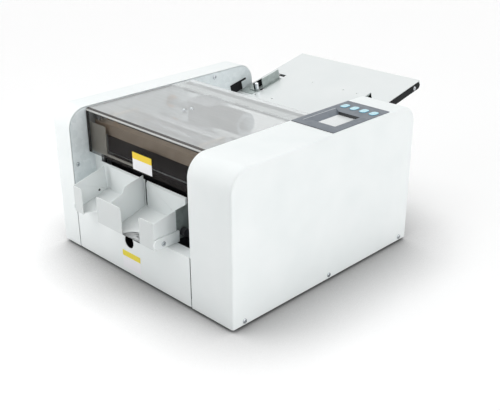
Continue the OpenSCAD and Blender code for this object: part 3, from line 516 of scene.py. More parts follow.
@dataclass(frozen=True)
class DisplayFilm(Finish):
    """Liquid-crystal glass at rest: pale grey-white, with the fine grid of its cells.

    Attributes:
        colour: Colour of the cells.
        gap: Colour between the cells.
        cell_mm: Pitch of the cells, drawn coarser than the real 0.5 mm so that they show.
    """

    colour: str = "EEF1F1"
    gap: str = "DDE2E3"
    cell_mm: float = 1.5

    def dress(self, skin: Skin) -> None:
        """Make the grid of cells."""
        cells = skin.tiles(skin.place, (self.cell_mm, self.cell_mm), gap=0.2, tone=0.1, offset=0.0)
        skin.coloured(cells, self.colour, self.gap)
        skin.even({"Roughness": 0.12, "IOR": 1.52})


WHITE_COAT = PowderCoat("white_powder_coat", "white_enamel", "F1F5F5", "ECF1F1", 0.5, specular=0.35)
# A greyer copy of the white coat: painted shade on the tray stops' front faces.
SHADED_STOP_COAT = PowderCoat("white_powder_coat_painted_shade", "white_enamel", "D6DADA", "D1D6D6", 0.5, specular=0.35)
TABLE_COAT = PowderCoat(
    "gloss_baked_enamel", "table_enamel", "E4E9E9", "E0E6E6", 0.36, peel_strength=0.0, coat=1.0
)
BLACK_COAT = PowderCoat("black_baked_enamel", "black_enamel", "141517", "1B1C1E", 0.5, specular=0.15)
MOTOR_COAT = PowderCoat("motor_enamel_dark", "motor_enamel", "3A3D40", "303336")
ZINC = ZincDip("hot_dip_zinc", "galvanised")
# A darker copy of the galvanised zinc, whose grey is painted shade.
SHADED_ZINC = ZincDip("grey_zinc_painted_shade", "galvanised", "A9B2B0", "98A19F", metallic=0.5)
BLACK_OXIDE = MachinedMetal(
    "black_oxide_steel", "blade_steel", Metal.OXIDE, "232426", (1, 25, 25), roughness=0.45
)
BRIGHT_STEEL = MachinedMetal("turned_free_cutting_steel", "bright_steel", Metal.STEEL, "9DA2A6", (1, 25, 25))
GROUND_STEEL = MachinedMetal(
    "ground_tool_steel", "blade_steel", Metal.STEEL, "A4A9AE", (1, 25, 25), roughness=0.2
)
ALUMINIUM = MachinedMetal("milled_aluminium", "beam_aluminium", Metal.ALUMINIUM, "B4B8BC", (40, 1, 1))
ANODISED = MachinedMetal(
    "champagne_anodised_aluminium", "beam_aluminium", Metal.ANODISED, "D2BFA8", (40, 1, 1), roughness=0.4
)
BRASS = MachinedMetal("hobbed_brass", "gear_brass", Metal.BRASS, "A9843F", (1, 12, 12))
BRONZE = MachinedMetal("sintered_bronze", "bearing_bronze", Metal.BRONZE, "8A6038", (1, 8, 8), roughness=0.4)
COPPER = MachinedMetal("varnished_copper_wire", "board_green", Metal.COPPER, "8F5638", (1, 30, 1))
CHROME = Plating("polished_chromium", "chrome_plate")
NICKEL = Plating("bright_nickel", "bright_steel", Metal.STEEL, 0.18)
BEZEL_PLASTIC = MouldedPlastic("grained_abs_slate", "bezel_plastic", "646C75", "6C747D")
# A pale copy of the bezel plastic, for a painted highlight.
HIGHLIGHT_PLASTIC = MouldedPlastic("abs_painted_highlight", "bezel_plastic", "C9CED2", "D2D6D9")
DARK_PLASTIC = MouldedPlastic("moulded_abs_black", "dark_plastic", "202124", "2A2B2E", roughness=0.45)
KEY_RUBBER = MouldedPlastic("moulded_silicone_blue", "button_rubber", "74C2DF", "82CCE6", 0.3, depth_mm=0.01)
# Pale and deep copies of the button rubber: a painted highlight on the crowns, painted shade on the sides.
KEY_HIGHLIGHT = MouldedPlastic("silicone_painted_highlight", "button_rubber", "BCE6F1", "C8EDF6", 0.3, depth_mm=0.01)
KEY_SHADE = MouldedPlastic("silicone_painted_shade", "button_rubber", "4F93AE", "5A9DB8", 0.4, depth_mm=0.01)
ACETAL = MouldedPlastic("moulded_acetal_ivory", "bright_steel", "FFFBEF", "F6F1E3", roughness=0.4)
NYLON = MouldedPlastic("cut_cast_nylon", "gear_nylon", "DDD8C4", "E8E3D2", roughness=0.38)
PLUG_NYLON = MouldedPlastic("moulded_nylon_white", "board_green", "E4E2D8", "EDEBE2")
BLUE_SLEEVE = MouldedPlastic("shrunk_sleeve_blue", "board_green", "27406E", "2F4A7A", roughness=0.3)
BLACK_RUBBER = Rubber("vulcanised_black_rubber", "black_rubber", "1B1B1C", "29292A")
TYRE_RUBBER = Rubber("ground_roller_rubber", "roller_rubber", "3A3B3D", "4B4C4E")
# The front drop: the sheet's real tint, with its reflection dimmed as painted shade.
SMOKED_DROP = Acrylic("smoked_acrylic_tint_dimmed_reflection", "smoked_acrylic", "17110F", "211A17", 0.36, 0.1, 0.12)
# The upper face: pale with a painted reflection of the surroundings, on the same acrylic as the drop.
SMOKED_TOP = Acrylic("smoked_acrylic_painted_reflection", "smoked_acrylic", "E6E9E9", "EAEDED", 0.4, 0.14)
# A dark line of painted shade along the bend.
SHADED_BEND = Acrylic("smoked_acrylic_painted_shade_bend", "smoked_acrylic", "35312F", "403B38", 0.9, 0.2)
# The left end of the sheet, darker and more opaque as painted shade.
SHADED_END = Acrylic("smoked_acrylic_painted_shade_end", "smoked_acrylic", "1B1614", "241E1B", 0.85, 0.1, 0.12)
# A bright line of painted highlight along the bend.
HIGHLIGHT_BEND = Acrylic("smoked_acrylic_painted_highlight_bend", "smoked_acrylic", "B9BBB8", "C4C6C3", 0.85, 0.2)
CLEAR_SHEET = Acrylic("frosted_clear_acrylic", "clear_acrylic", "F0F4F4", "F4F8F8", 0.52, 0.2)
BOARD = BoardLaminate("solder_masked_laminate", "board_green")
DISPLAY = DisplayFilm("resting_display_glass", "display_window")


# ---- Frame and modelling ----


class Axis(Enum):
    """Direction of a bar or a prism, as the turn that brings local +Z there."""

    X = Matrix(((0, 0, 1, 0), (1, 0, 0, 0), (0, 1, 0, 0), (0, 0, 0, 1)))
    Z = Matrix.Identity(4)

    def at(self, origin: Point) -> Matrix:
        """Return the matrix that puts local (0, 0, 0) at origin and +Z along this axis."""
        return Matrix.Translation(origin) @ self.value


class Cabinet:
    """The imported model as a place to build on, with a ruler in cabinet millimetres."""

    def __init__(self, frame: Mapping[str, Any]) -> None:
        """Take up the frame.

        Args:
            frame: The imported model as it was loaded.
        """
        self.nodes: dict[str, bpy.types.Object] = frame["nodes"]
        bodies = frame["record"]["behaviour"]["bodies"]
        self.carrier: dict[str, str] = {node: body for body, members in bodies.items() for node in members}
        corner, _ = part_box("left_cover")
        self.to_metres = Matrix.Translation(corner) @ Matrix.Scale(MM, 4)
        self.to_cabinet = self.to_metres.inverted()
        log.info("cabinet corner at %s", tuple(round(c, 4) for c in corner))

    def metres(self, point: Point) -> Vector:
        """Return a cabinet point in metres of the frame."""
        return self.to_metres @ Vector(point)

    def box(self, node: str) -> tuple[Vector, Vector]:
        """Return the low and the high corner of a CAD node in cabinet millimetres, to a thousandth."""
        low, high = (self.to_cabinet @ Vector(corner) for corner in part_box(node))
        return Vector([round(c, 3) for c in low]), Vector([round(c, 3) for c in high])


def shown(name: str, data: bpy.types.ID) -> bpy.types.Object:
    """Put data into the scene as an object.

    Args:
        name: Name of the object.
        data: Its mesh, lamp or camera.

    Returns:
        The object.
    """
    made = bpy.data.objects.new(name, data)
    bpy.context.scene.collection.objects.link(made)
    return made


def within(low: Point, high: Point) -> FaceTest:
    """Return a test for faces whose middle lies in the box between two corners."""
    return lambda at, _: all(a < c < b for a, c, b in zip(low, at, high))


def lies_at(part: bmesh.types.BMEdge | bmesh.types.BMFace, axis: int, place: float) -> bool:
    """Tell whether a whole edge or face lies at one place along an axis."""
    return all(abs(v.co[axis] - place) < NEAR for v in part.verts)


def rounded(
    mesh: bmesh.types.BMesh, parts: Sequence[Any], width: float, segments: int, affect: str = "EDGES"
) -> None:
    """Round edges or corners of a mesh.

    Args:
        mesh: Mesh in millimetres.
        parts: The edges, or the vertices of the corners.
        width: Width of the rounding.
        segments: Faces across the rounding.
        affect: "EDGES" or "VERTICES".
    """
    bmesh.ops.bevel(
        mesh,
        geom=parts,
        offset=width,
        offset_type="OFFSET",
        segments=segments,
        profile=0.5,
        affect=affect,
        clamp_overlap=False,
        material=-1,
    )


def soften(mesh: bmesh.types.BMesh, width: float, limit: float = SHARP) -> None:
    """Round the sharp edges of a closed mesh, as a press, a mould or a file leaves them.

    Args:
        mesh: Mesh in millimetres.
        width: Width of the rounding.
        limit: Smallest turn, in radians, of an edge that is rounded.
    """
    edges = [e for e in mesh.edges if len(e.link_faces) == 2 and e.calc_face_angle(0.0) > limit]
    if edges:
        rounded(mesh, edges, width, segments=2)
        bmesh.ops.dissolve_degenerate(mesh, dist=MERGE, edges=mesh.edges)


def pulled(mesh: bmesh.types.BMesh, along: Point) -> None:
    """Extrude a mesh's faces into a closed form.

    Args:
        mesh: Mesh of flat faces.
        along: How far and in which direction.
    """
    drawn = bmesh.ops.extrude_face_region(mesh, geom=list(mesh.faces), use_keep_orig=True)
    far = [v for v in drawn["geom"] if isinstance(v, bmesh.types.BMVert)]
    bmesh.ops.translate(mesh, vec=along, verts=far)


def split(mesh: bmesh.types.BMesh, faces: Sequence[bmesh.types.BMFace], place: Point, normal: Point) -> None:
    """Divide faces along a plane.

    Args:
        mesh: Mesh that holds the faces.
        faces: The faces.
        place: A point of the plane.
        normal: Direction across the plane.
    """
    around = [p for f in faces for p in (*f.edges, *f.verts)]
    geometry = [*faces, *dict.fromkeys(around)]
    bmesh.ops.bisect_plane(mesh, geom=geometry, dist=NEAR, plane_co=place, plane_no=normal)


def cylinder(mesh: bmesh.types.BMesh, radius: float, low: float, high: float, sides: int) -> None:
    """Add a closed cylinder around Z.

    Args:
        mesh: Mesh that takes it.
        radius: Radius of the cylinder.
        low: Height of its lower end.
        high: Height of its upper end.
        sides: Faces around it.
    """
    place = Matrix.Translation((0, 0, (low + high) / 2))
    bmesh.ops.create_cone(
        mesh, cap_ends=True, segments=sides, radius1=radius, radius2=radius, depth=high - low, matrix=place
    )


class Piece:
    """A mesh under construction in cabinet millimetres."""

    def __init__(self, name: str) -> None:
        """Start an empty mesh for the object of that name."""
        self.name = name
        self.mesh = bmesh.new()

    def take(self, part: bmesh.types.BMesh, place: Matrix | None = None) -> Piece:
        """Join a part to this piece and free it.

        Args:
            part: Mesh to join.
            place: Where the part's own origin goes.

        Returns:
            This piece.
        """
        if place is not None:
            bmesh.ops.transform(part, matrix=place, verts=part.verts)
        carry = bpy.data.meshes.new("carry")
        part.to_mesh(carry)
        part.free()
        self.mesh.from_mesh(carry)
        bpy.data.meshes.remove(carry)
        return self

    def box(self, low: Point, high: Point, edge: float) -> Piece:
        """Add a box.

        Args:
            low: Its low corner.
            high: Its high corner.
            edge: Rounding of its edges.

        Returns:
            This piece.
        """
        low_corner, high_corner = Vector(low), Vector(high)
        part = bmesh.new()
        bmesh.ops.create_cube(part, size=1.0)
        bmesh.ops.scale(part, vec=high_corner - low_corner, verts=part.verts)
        bmesh.ops.translate(part, vec=(low_corner + high_corner) / 2, verts=part.verts)
        soften(part, edge)
        return self.take(part)

    def bar(self, start: Point, length: float, radius: float, edge: float, sides: int) -> Piece:
        """Add an upright bar.

        Args:
            start: Middle of its lower end.
            length: Length of the bar.
            radius: Radius of the bar.
            edge: Rounding of its rims.
            sides: Faces around it.

        Returns:
            This piece.
        """
        part = bmesh.new()
        cylinder(part, radius, 0, length, sides)
        soften(part, edge)
        return self.take(part, Axis.Z.at(start))

    def turned(self, axis: Axis, start: Point, profile: Sequence[Point], sides: int) -> Piece:
        """Add a turned form, as a lathe makes it.

        Args:
            axis: Axis of the lathe.
            start: Point from which the profile is measured.
            profile: Radius and distance along the axis of each step, from one end on the axis to the other.
            sides: Faces around it.

        Returns:
            This piece.
        """
        part = bmesh.new()
        points = [part.verts.new((radius, 0, along)) for radius, along in profile]
        line = [part.edges.new(pair) for pair in zip(points, points[1:])]
        around = {"axis": (0, 0, 1), "cent": (0, 0, 0), "angle": math.tau}
        bmesh.ops.spin(part, geom=points + line, steps=sides, use_merge=True, **around)
        bmesh.ops.remove_doubles(part, verts=part.verts, dist=NEAR)
        bmesh.ops.recalc_face_normals(part, faces=part.faces)
        return self.take(part, axis.at(start))

    def finished(
        self,
        cabinet: Cabinet,
        finish: Finish,
        body: str,
        replaces: Iterable[str] = (),
        zones: Sequence[tuple[Finish, FaceTest]] = (),
    ) -> bpy.types.Object:
        """Turn the mesh to metres, dress it and let it ride on its body.

        Args:
            cabinet: Cabinet that it is built on.
            finish: Finish of the whole piece.
            body: Body that it moves with.
            replaces: Nodes that it stands for.
            zones: Other finishes, each with a test of a face's middle and normal in cabinet millimetres.

        Returns:
            The finished object.
        """
        for face in self.mesh.faces:
            face.smooth = True
            middle, normal = face.calc_center_median(), face.normal
            matching = (k for k, (_, test) in enumerate(zones, start=1) if test(middle, normal))
            face.material_index = next(matching, 0)
        for edge in self.mesh.edges:
            edge.smooth = len(edge.link_faces) == 2 and edge.calc_face_angle(0.0) < SHARP
        bmesh.ops.transform(self.mesh, matrix=cabinet.to_metres, verts=self.mesh.verts)
        data = bpy.data.meshes.new(self.name)
        self.mesh.to_mesh(data)
        self.mesh.free()
        for each in (finish, *(zone for zone, _ in zones)):
            data.materials.append(each.material())
        piece = shown(self.name, data)
        shading = piece.modifiers.new("even_normals", "WEIGHTED_NORMAL")
        shading.keep_sharp = True
        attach(piece, body)
        names = tuple(replaces)
        if names:
            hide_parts(*names)
        return piece


@dataclass
class Assembly(ABC):
    """A group of pieces that are made together.

    Attributes:
        cabinet: Cabinet that they are built on.
    """

    cabinet: Cabinet

    @abstractmethod
    def build(self) -> Iterator[bpy.types.Object]:
        """Make the pieces.

        Yields:
            Each finished piece.
        """

    def copied(self, node: str) -> Piece:
        """Copy a CAD node's mesh, merge it and make its flat faces whole again.

        Args:
            node: Name of the node.

        Returns:
            The copy as a piece.
        """
        piece = Piece(f"{node}_finished")
        mesh = piece.mesh
        mesh.from_mesh(self.cabinet.nodes[node].data)
        bmesh.ops.transform(mesh, matrix=self.cabinet.to_cabinet, verts=mesh.verts)
        bmesh.ops.remove_doubles(mesh, verts=mesh.verts, dist=MERGE)
        bmesh.ops.dissolve_limit(mesh, angle_limit=math.radians(0.4), verts=mesh.verts, edges=mesh.edges)
        return piece

    def refined(
        self, node: str, finish: Finish, edge: float, zones: Sequence[tuple[Finish, FaceTest]] = ()
    ) -> bpy.types.Object:
        """Replace a CAD node by a copy with broken edges and its real finish.

        Args:
            node: Name of the node.
            finish: Finish of the whole copy.
            edge: Width of the broken edges in millimetres.
            zones: Other finishes for some of its faces.

        Returns:
            The finished object.
        """
        piece = self.copied(node)
        soften(piece.mesh, edge)
        return piece.finished(self.cabinet, finish, self.cabinet.carrier[node], (node,), zones)

    def all_refined(self, *rows: tuple[Any, ...]) -> Iterator[bpy.types.Object]:
        """Refine nodes one by one, each row holding what refined takes."""
        for row in rows:
            yield self.refined(*row)

    def plain_label(
        self, name: str, body: str, box: tuple[Point, Point], border: float, colours: tuple[str, str]
    ) -> bpy.types.Object:
        """Lay a plain label of two colours on a body.

        Args:
            name: Word for it in the names of its piece and its foil.
            body: Body that it moves with.
            box: Low and high corner of the label.
            border: Height at which the colours meet.
            colours: Colour above the border and below it.

        Returns:
            The finished label.
        """
        border_z = self.cabinet.metres((0, 0, border)).z
        foil = TwoToneFoil(f"two_tone_foil_{name}", "display_window", *colours, border_z)
        return Piece(f"plain_{name}_label").box(*box, edge=0.05).finished(self.cabinet, foil, body)


# ---- Sub-assemblies ----


@dataclass
class SideCovers(Assembly):
    """The two pressed covers, with round top corners and a soft bend along each outline.

    Attributes:
        corner_radius: Radius of the top corners.
        bend_radius: Radius of the bend between the side and the rim.
        sheet: Sheet thickness.
        panel_hole: Low and high corner of the opening under the control bezel.
        inlet_hole: Low and high corner of the opening for the mains inlet.
    """

    corner_radius: float = 32
    bend_radius: float = 3
    sheet: float = 1.2
    panel_hole: tuple[Point, Point] = ((325.3, 212, 220), (394.1, 326, 240))
    inlet_hole: tuple[Point, Point] = ((340, 390, 24), (388, 400, 52))

    def build(self) -> Iterator[bpy.types.Object]:
        """Make the left and the right cover."""
        (left, left_end), (right_end, right) = map(self.cabinet.box, ("left_cover", "right_cover"))
        yield self.cover("left_cover", left.x, left_end.x, ())
        yield self.cover("right_cover", right.x, right_end.x, (self.panel_hole, self.inlet_hole))

    def cover(
        self, node: str, side_x: float, end_x: float, holes: Sequence[tuple[Point, Point]]
    ) -> bpy.types.Object:
        """Press one cover from sheet.

        Args:
            node: Node that it stands for.
            side_x: X of its outer face.
            end_x: X of its open end.
            holes: Low and high corners of the openings.

        Returns:
            The finished cover.
        """
        piece = Piece(f"{node}_pressed")
        mesh = piece.mesh
        reach = end_x - side_x
        low, high = self.cabinet.box(node)
        corners = ((low.y, low.z), (high.y, low.z), (high.y, high.z), (low.y, high.z))
        verts = [mesh.verts.new((side_x, y, z)) for y, z in corners]
        mesh.faces.new(verts)
        rounded(mesh, verts[2:], self.corner_radius, segments=14, affect="VERTICES")
        pulled(mesh, (reach, 0, 0))
        open_faces = [f for f in mesh.faces if lies_at(f, 0, end_x) or lies_at(f, 2, low.z)]
        bmesh.ops.delete(mesh, geom=open_faces, context="FACES")
        bend = [e for e in mesh.edges if lies_at(e, 0, side_x) and len(e.link_faces) == 2]
        rounded(mesh, bend, self.bend_radius, segments=4)
        bmesh.ops.recalc_face_normals(mesh, faces=mesh.faces)
        side = next(f for f in mesh.faces if lies_at(f, 0, side_x))
        if side.normal.x * reach > 0:
            bmesh.ops.reverse_faces(mesh, faces=mesh.faces)
        for hole in holes:
            self.pierce(mesh, *hole)
        bmesh.ops.solidify(mesh, geom=mesh.faces[:] + mesh.edges[:] + mesh.verts[:], thickness=self.sheet)
        soften(mesh, width=0.25, limit=math.radians(70))
        return piece.finished(self.cabinet, WHITE_COAT, self.cabinet.carrier[node], (node,))

    @staticmethod
    def pierce(mesh: bmesh.types.BMesh, low: Point, high: Point) -> None:
        """Cut the sheet along a box's sides and drop what lies inside it.

        Args:
            mesh: Mesh of the sheet.
            low: Low corner of the box.
            high: High corner of the box.
        """
        for axis in range(3):
            normal = [float(k == axis) for k in range(3)]
            for corner in (low, high):
                near = []
                for face in mesh.faces:
                    spans = zip(*(v.co for v in face.verts))
                    if all(min(span) < b and max(span) > a for span, a, b in zip(spans, low, high)):
                        near.append(face)
                split(mesh, near, corner, normal)
        inside = within([c - MERGE for c in low], [c + MERGE for c in high])
        hole = [f for f in mesh.faces if inside(f.calc_center_median(), f.normal)]
        bmesh.ops.delete(mesh, geom=hole, context="FACES")


@dataclass
class Chassis(Assembly):
    """Base plate, feet, frame plates, rear panel, bars and the plates behind the card tray.

    Attributes:
        seam_shade_y: Y in front of which the right frame plate's front edge is black, as painted shade in the
            seam beside the drawer.
        foot_places: Middle of each foot.
        foot_height: Height of a foot.
        foot_radius: Radius of a foot.
        groove: Radius and height of each step from a foot's middle to its ring groove.
    """

    seam_shade_y: float = 2.2
    foot_places: tuple[tuple[float, float], ...] = ((28, 30), (28, 368), (372, 30), (372, 368))
    foot_height: float = 5
    foot_radius: float = 12
    groove: tuple[tuple[float, float], ...] = ((0, 2.2), (3.4, 2.2), (3.6, 0.2), (4.2, 0))

    def build(self) -> Iterator[bpy.types.Object]:
        """Make the chassis."""
        # The right frame plate's front edge is black: painted shade in the seam beside the drawer.
        seam_shade = (BLACK_COAT, lambda at, normal: at.y < self.seam_shade_y and normal.y < -0.5)
        yield from self.all_refined(
            ("base_plate", ZINC, 0.3),
            ("left_frame_plate", ZINC, 0.25),
            ("right_frame_plate", ZINC, 0.25, (seam_shade,)),
            ("rear_panel", WHITE_COAT, 0.2),
            ("tie_bars", BRIGHT_STEEL, 0.4),
            ("exit_plate", WHITE_COAT, 0.3),
            # The exit side plate's grey is painted shade cast by the right cover.
            ("exit_side_plate", SHADED_ZINC, 0.25),
        )
        yield self.feet()

    def feet(self) -> bpy.types.Object:
        """Mould the four feet, each with a ring groove and a screw's well underneath.

        Returns:
            The finished feet.
        """
        piece = Piece("moulded_feet")
        r, h = self.foot_radius, self.foot_height
        sole = ((r - 1.6, 0), (r - 1, 0.4), (r - 0.5, h / 2))
        flange = ((r, h / 2 + 0.4), (r, h - 0.2), (r - 0.2, h), (0, h))
        for x, y in self.foot_places:
            piece.turned(Axis.Z, (x, y, -h), (*self.groove, *sole, *flange), sides=48)
        return piece.finished(self.cabinet, BLACK_RUBBER, "machine", ("rubber_feet",))


@dataclass
class Window(Assembly):
    """The bent smoked sheet, the fixed strip behind it and their hinge.

    Attributes:
        top_z: Height of the sheet's upper face.
        reflection_depth: How far below the upper face its painted reflection reaches.
        front_y: Place of the drop's outer face.
        bend_reach: How far the bend runs along each leg.
        bend_tops: Upward slope above which the bend has painted shade, and above which it has a painted
            highlight.
        shaded_end_x: X up to which the sheet's left end is darker, as painted shade seen through the drop.
        screw_places: Places of the two dome screws.
        dome: Radius and height of each step of a dome.
        shank: Length and radius of a dome screw's shank.
        nut: Depth of a nut's lower face below the sheet's upper face, the nut's height and its radius.
        label: Low and high corner of the plain label on the drop.
        label_border: Height at which the label's colours meet.
    """

    top_z: float = 228.5
    reflection_depth: float = 3.6
    front_y: float = 32
    bend_reach: float = 5.0
    bend_tops: tuple[float, float] = (0.62, 0.2)
    shaded_end_x: float = 48
    screw_places: tuple[tuple[float, float], ...] = ((165, 128.4), (167.5, 141.2))
    dome: tuple[Point, ...] = (
        (0, 2.4),
        (0.9, 2.33),
        (1.8, 2.05),
        (2.6, 1.55),
        (3.2, 0.8),
        (3.5, 0.2),
        (3.5, 0),
        (0, 0),
    )
    shank: tuple[float, float] = (6, 2)
    nut: tuple[float, float, float] = (5.5, 2.5, 3.8)
    label: tuple[Point, Point] = ((156.6, 31.85, 158.5), (201.5, 32, 186))
    label_border: float = 175.5

    def build(self) -> Iterator[bpy.types.Object]:
        """Make the window."""
        yield self.bent_sheet()
        yield self.refined("rear_strip", CLEAR_SHEET, edge=0.35)
        yield self.refined("hinge_pin", BRIGHT_STEEL, edge=0.15)
        yield self.dome_screws()
        yield self.plain_label("window", "window", self.label, self.label_border, ("F2D21B", "F2F2F4"))

    def bent_sheet(self) -> bpy.types.Object:
        """Dress the bent smoked sheet, pale with a painted reflection on top and clear with a dimmed
        reflection in front.

        Returns:
            The finished sheet.
        """
        piece = self.copied("window_cover")
        soften(piece.mesh, width=0.35)
        split(piece.mesh, piece.mesh.faces[:], (self.shaded_end_x, 0, 0), (1, 0, 0))
        # Copies of the one smoked acrylic: painted shade and highlight on the bend, painted reflection on
        # top, painted shade at the left end.
        zones = (
            (SHADED_BEND, lambda at, normal: self.on_bend(at) and normal.z > self.bend_tops[0]),
            (HIGHLIGHT_BEND, lambda at, normal: self.on_bend(at) and normal.z > self.bend_tops[1]),
            (SMOKED_TOP, lambda at, _: at.z > self.top_z - self.reflection_depth),
            (SHADED_END, lambda at, _: at.x < self.shaded_end_x),
        )
        return piece.finished(self.cabinet, SMOKED_DROP, "window", ("window_cover",), zones)

    def on_bend(self, at: Vector) -> bool:
        """Tell whether a face's middle lies on the bend."""
        return at.z > self.top_z - self.bend_reach and at.y < self.front_y + self.bend_reach

    def dome_screws(self) -> bpy.types.Object:
        """Turn the two dome screws with their nuts under the sheet.

        Returns:
            The finished screws.
        """
        piece = Piece("dome_screws")
        length, radius = self.shank
        nut_depth, nut_height, nut_radius = self.nut
        for x, y in self.screw_places:
            piece.turned(Axis.Z, (x, y, self.top_z), self.dome, sides=32)
            piece.bar((x, y, self.top_z - length), length, radius, edge=0.2, sides=24)
            piece.bar((x, y, self.top_z - nut_depth), nut_height, nut_radius, edge=0.25, sides=6)
        return piece.finished(self.cabinet, BRIGHT_STEEL, "window", ("window_screws",))


@dataclass
class CardTray(Assembly):
    """The tray for two rows of cards, the wall between them and the arms that carry it.

    Attributes:
        rivet_at: Place of the blind rivet inside the left wall.
        rivet: Radius and height of each step of the rivet's head.
        stop_edges: X of the front stops' edges at the finger gaps.
        stop_top: Height of the front stops.
        stop_radius: Radius of the stops' corners.
        stop_shade_y: Y in front of which the stops' front faces take a greyer copy of the white coat, as
            painted shade.
        fit: How far an edge may lie from where it should be.
    """

    rivet_at: Point = (72.9, 25.3, 100.9)
    rivet: tuple[Point, ...] = ((0, 0.6), (1, 0.5), (1.8, 0.2), (2, 0), (0, 0))
    stop_edges: tuple[float, ...] = (92.8, 131, 190.4, 232.4)
    stop_top: float = 122
    stop_radius: float = 4
    stop_shade_y: float = -20.8
    fit: float = 0.05

    def build(self) -> Iterator[bpy.types.Object]:
        """Make the tray."""
        yield self.folded_tray()
        yield self.refined("tray_divider", WHITE_COAT, edge=0.5)
        yield self.refined("tray_arms", WHITE_COAT, edge=0.4)
        rivet = Piece("tray_rivet").turned(Axis.X, self.rivet_at, self.rivet, sides=24)
        yield rivet.finished(self.cabinet, DARK_PLASTIC, "machine")

    def folded_tray(self) -> bpy.types.Object:
        """Round the front stops' free corners and break the folded sheet's edges.

        Returns:
            The finished tray.
        """
        piece = self.copied("card_tray")
        corners = [e for e in piece.mesh.edges if self.is_corner(*(v.co for v in e.verts))]
        rounded(piece.mesh, corners, self.stop_radius, segments=5)
        soften(piece.mesh, width=0.5)
        # The stops' front faces are greyer with painted shade.
        front = (SHADED_STOP_COAT, lambda at, _: at.y < self.stop_shade_y)
        return piece.finished(self.cabinet, WHITE_COAT, "machine", ("card_tray",), (front,))

    def is_corner(self, end: Vector, other: Vector) -> bool:
        """Tell whether an edge runs through the sheet at a free corner of a front stop.

        Args:
            end: One end of the edge.
            other: The other end.

        Returns:
            True if it does.
        """
        through = abs(end.x - other.x) < self.fit and end.y < 0 and other.y < 0
        on_top = min(end.z, other.z) > self.stop_top - self.fit
        return through and on_top and any(abs(end.x - x) < self.fit for x in self.stop_edges)


@dataclass
class WasteDrawer(Assembly):
    """The drawer under the tray.

    Attributes:
        label: Low and high corner of the plain label on the front.
        label_border: Height at which the label's colours meet.
    """

    label: tuple[Point, Point] = ((159, -0.15, 8), (202, 0, 37))
    label_border: float = 27.5

    def build(self) -> Iterator[bpy.types.Object]:
        """Make the drawer."""
        yield self.refined("drawer_front", WHITE_COAT, edge=0.35)
        yield self.refined("waste_bin", DARK_PLASTIC, edge=0.4)
        yield self.plain_label("drawer", "waste_drawer", self.label, self.label_border, ("EEDC3C", "F3F3F6"))


@dataclass
class FeedTable(Assembly):
    """The sloping table, its rails and the two sliding side guides.

    Attributes:
        rear_edge: Y and Z of the table's rear edge.
        slope: Rise of the table for each millimetre to the back.
        plate_lift: Height over the table above which a face belongs to the zinc plates.
        clamp_plates: Middle of each guide's black clamp plate.
        clamp_half: Half the thickness of a clamp plate.
        clamp_lift: Height over the table above which the clamp plates are black.
        under_lift: Height below which a guide's parts under the table are black.
    """

    rear_edge: tuple[float, float] = (535, 222)
    slope: float = math.tan(math.radians(12.24))
    plate_lift: float = 0.3
    clamp_plates: tuple[tuple[str, float], ...] = (("left", 71.8), ("right", 298.2))
    clamp_half: float = 0.8
    clamp_lift: float = 2.5
    under_lift: float = -1.6

    def build(self) -> Iterator[bpy.types.Object]:
        """Make the table."""
        # The table's zinc plates and the guides are zinc greyed with painted shade.
        plates = (SHADED_ZINC, lambda at, normal: normal.z > -0.5 and self.lift(at) > self.plate_lift)
        yield self.refined("feed_table", TABLE_COAT, edge=0.15, zones=(plates,))
        yield self.refined("table_rails", BLACK_COAT, edge=0.3)
        under = (BLACK_COAT, lambda at, _: self.lift(at) < self.under_lift)
        for side, plate_x in self.clamp_plates:
            clamp = (BLACK_COAT, lambda at, _, x=plate_x: self.on_clamp(at, x))
            yield self.refined(f"{side}_guide", SHADED_ZINC, edge=0.25, zones=(clamp, under))
            yield self.refined(f"{side}_guide_knob", CHROME, edge=0.5)

    def on_clamp(self, at: Vector, plate_x: float) -> bool:
        """Tell whether a face's middle lies on the clamp plate at that X."""
        return abs(at.x - plate_x) < self.clamp_half and self.lift(at) > self.clamp_lift

    def lift(self, at: Vector) -> float:
        """Return the height of a point over the table."""
        return at.z - self.rear_edge[1] + (self.rear_edge[0] - at.y) * self.slope


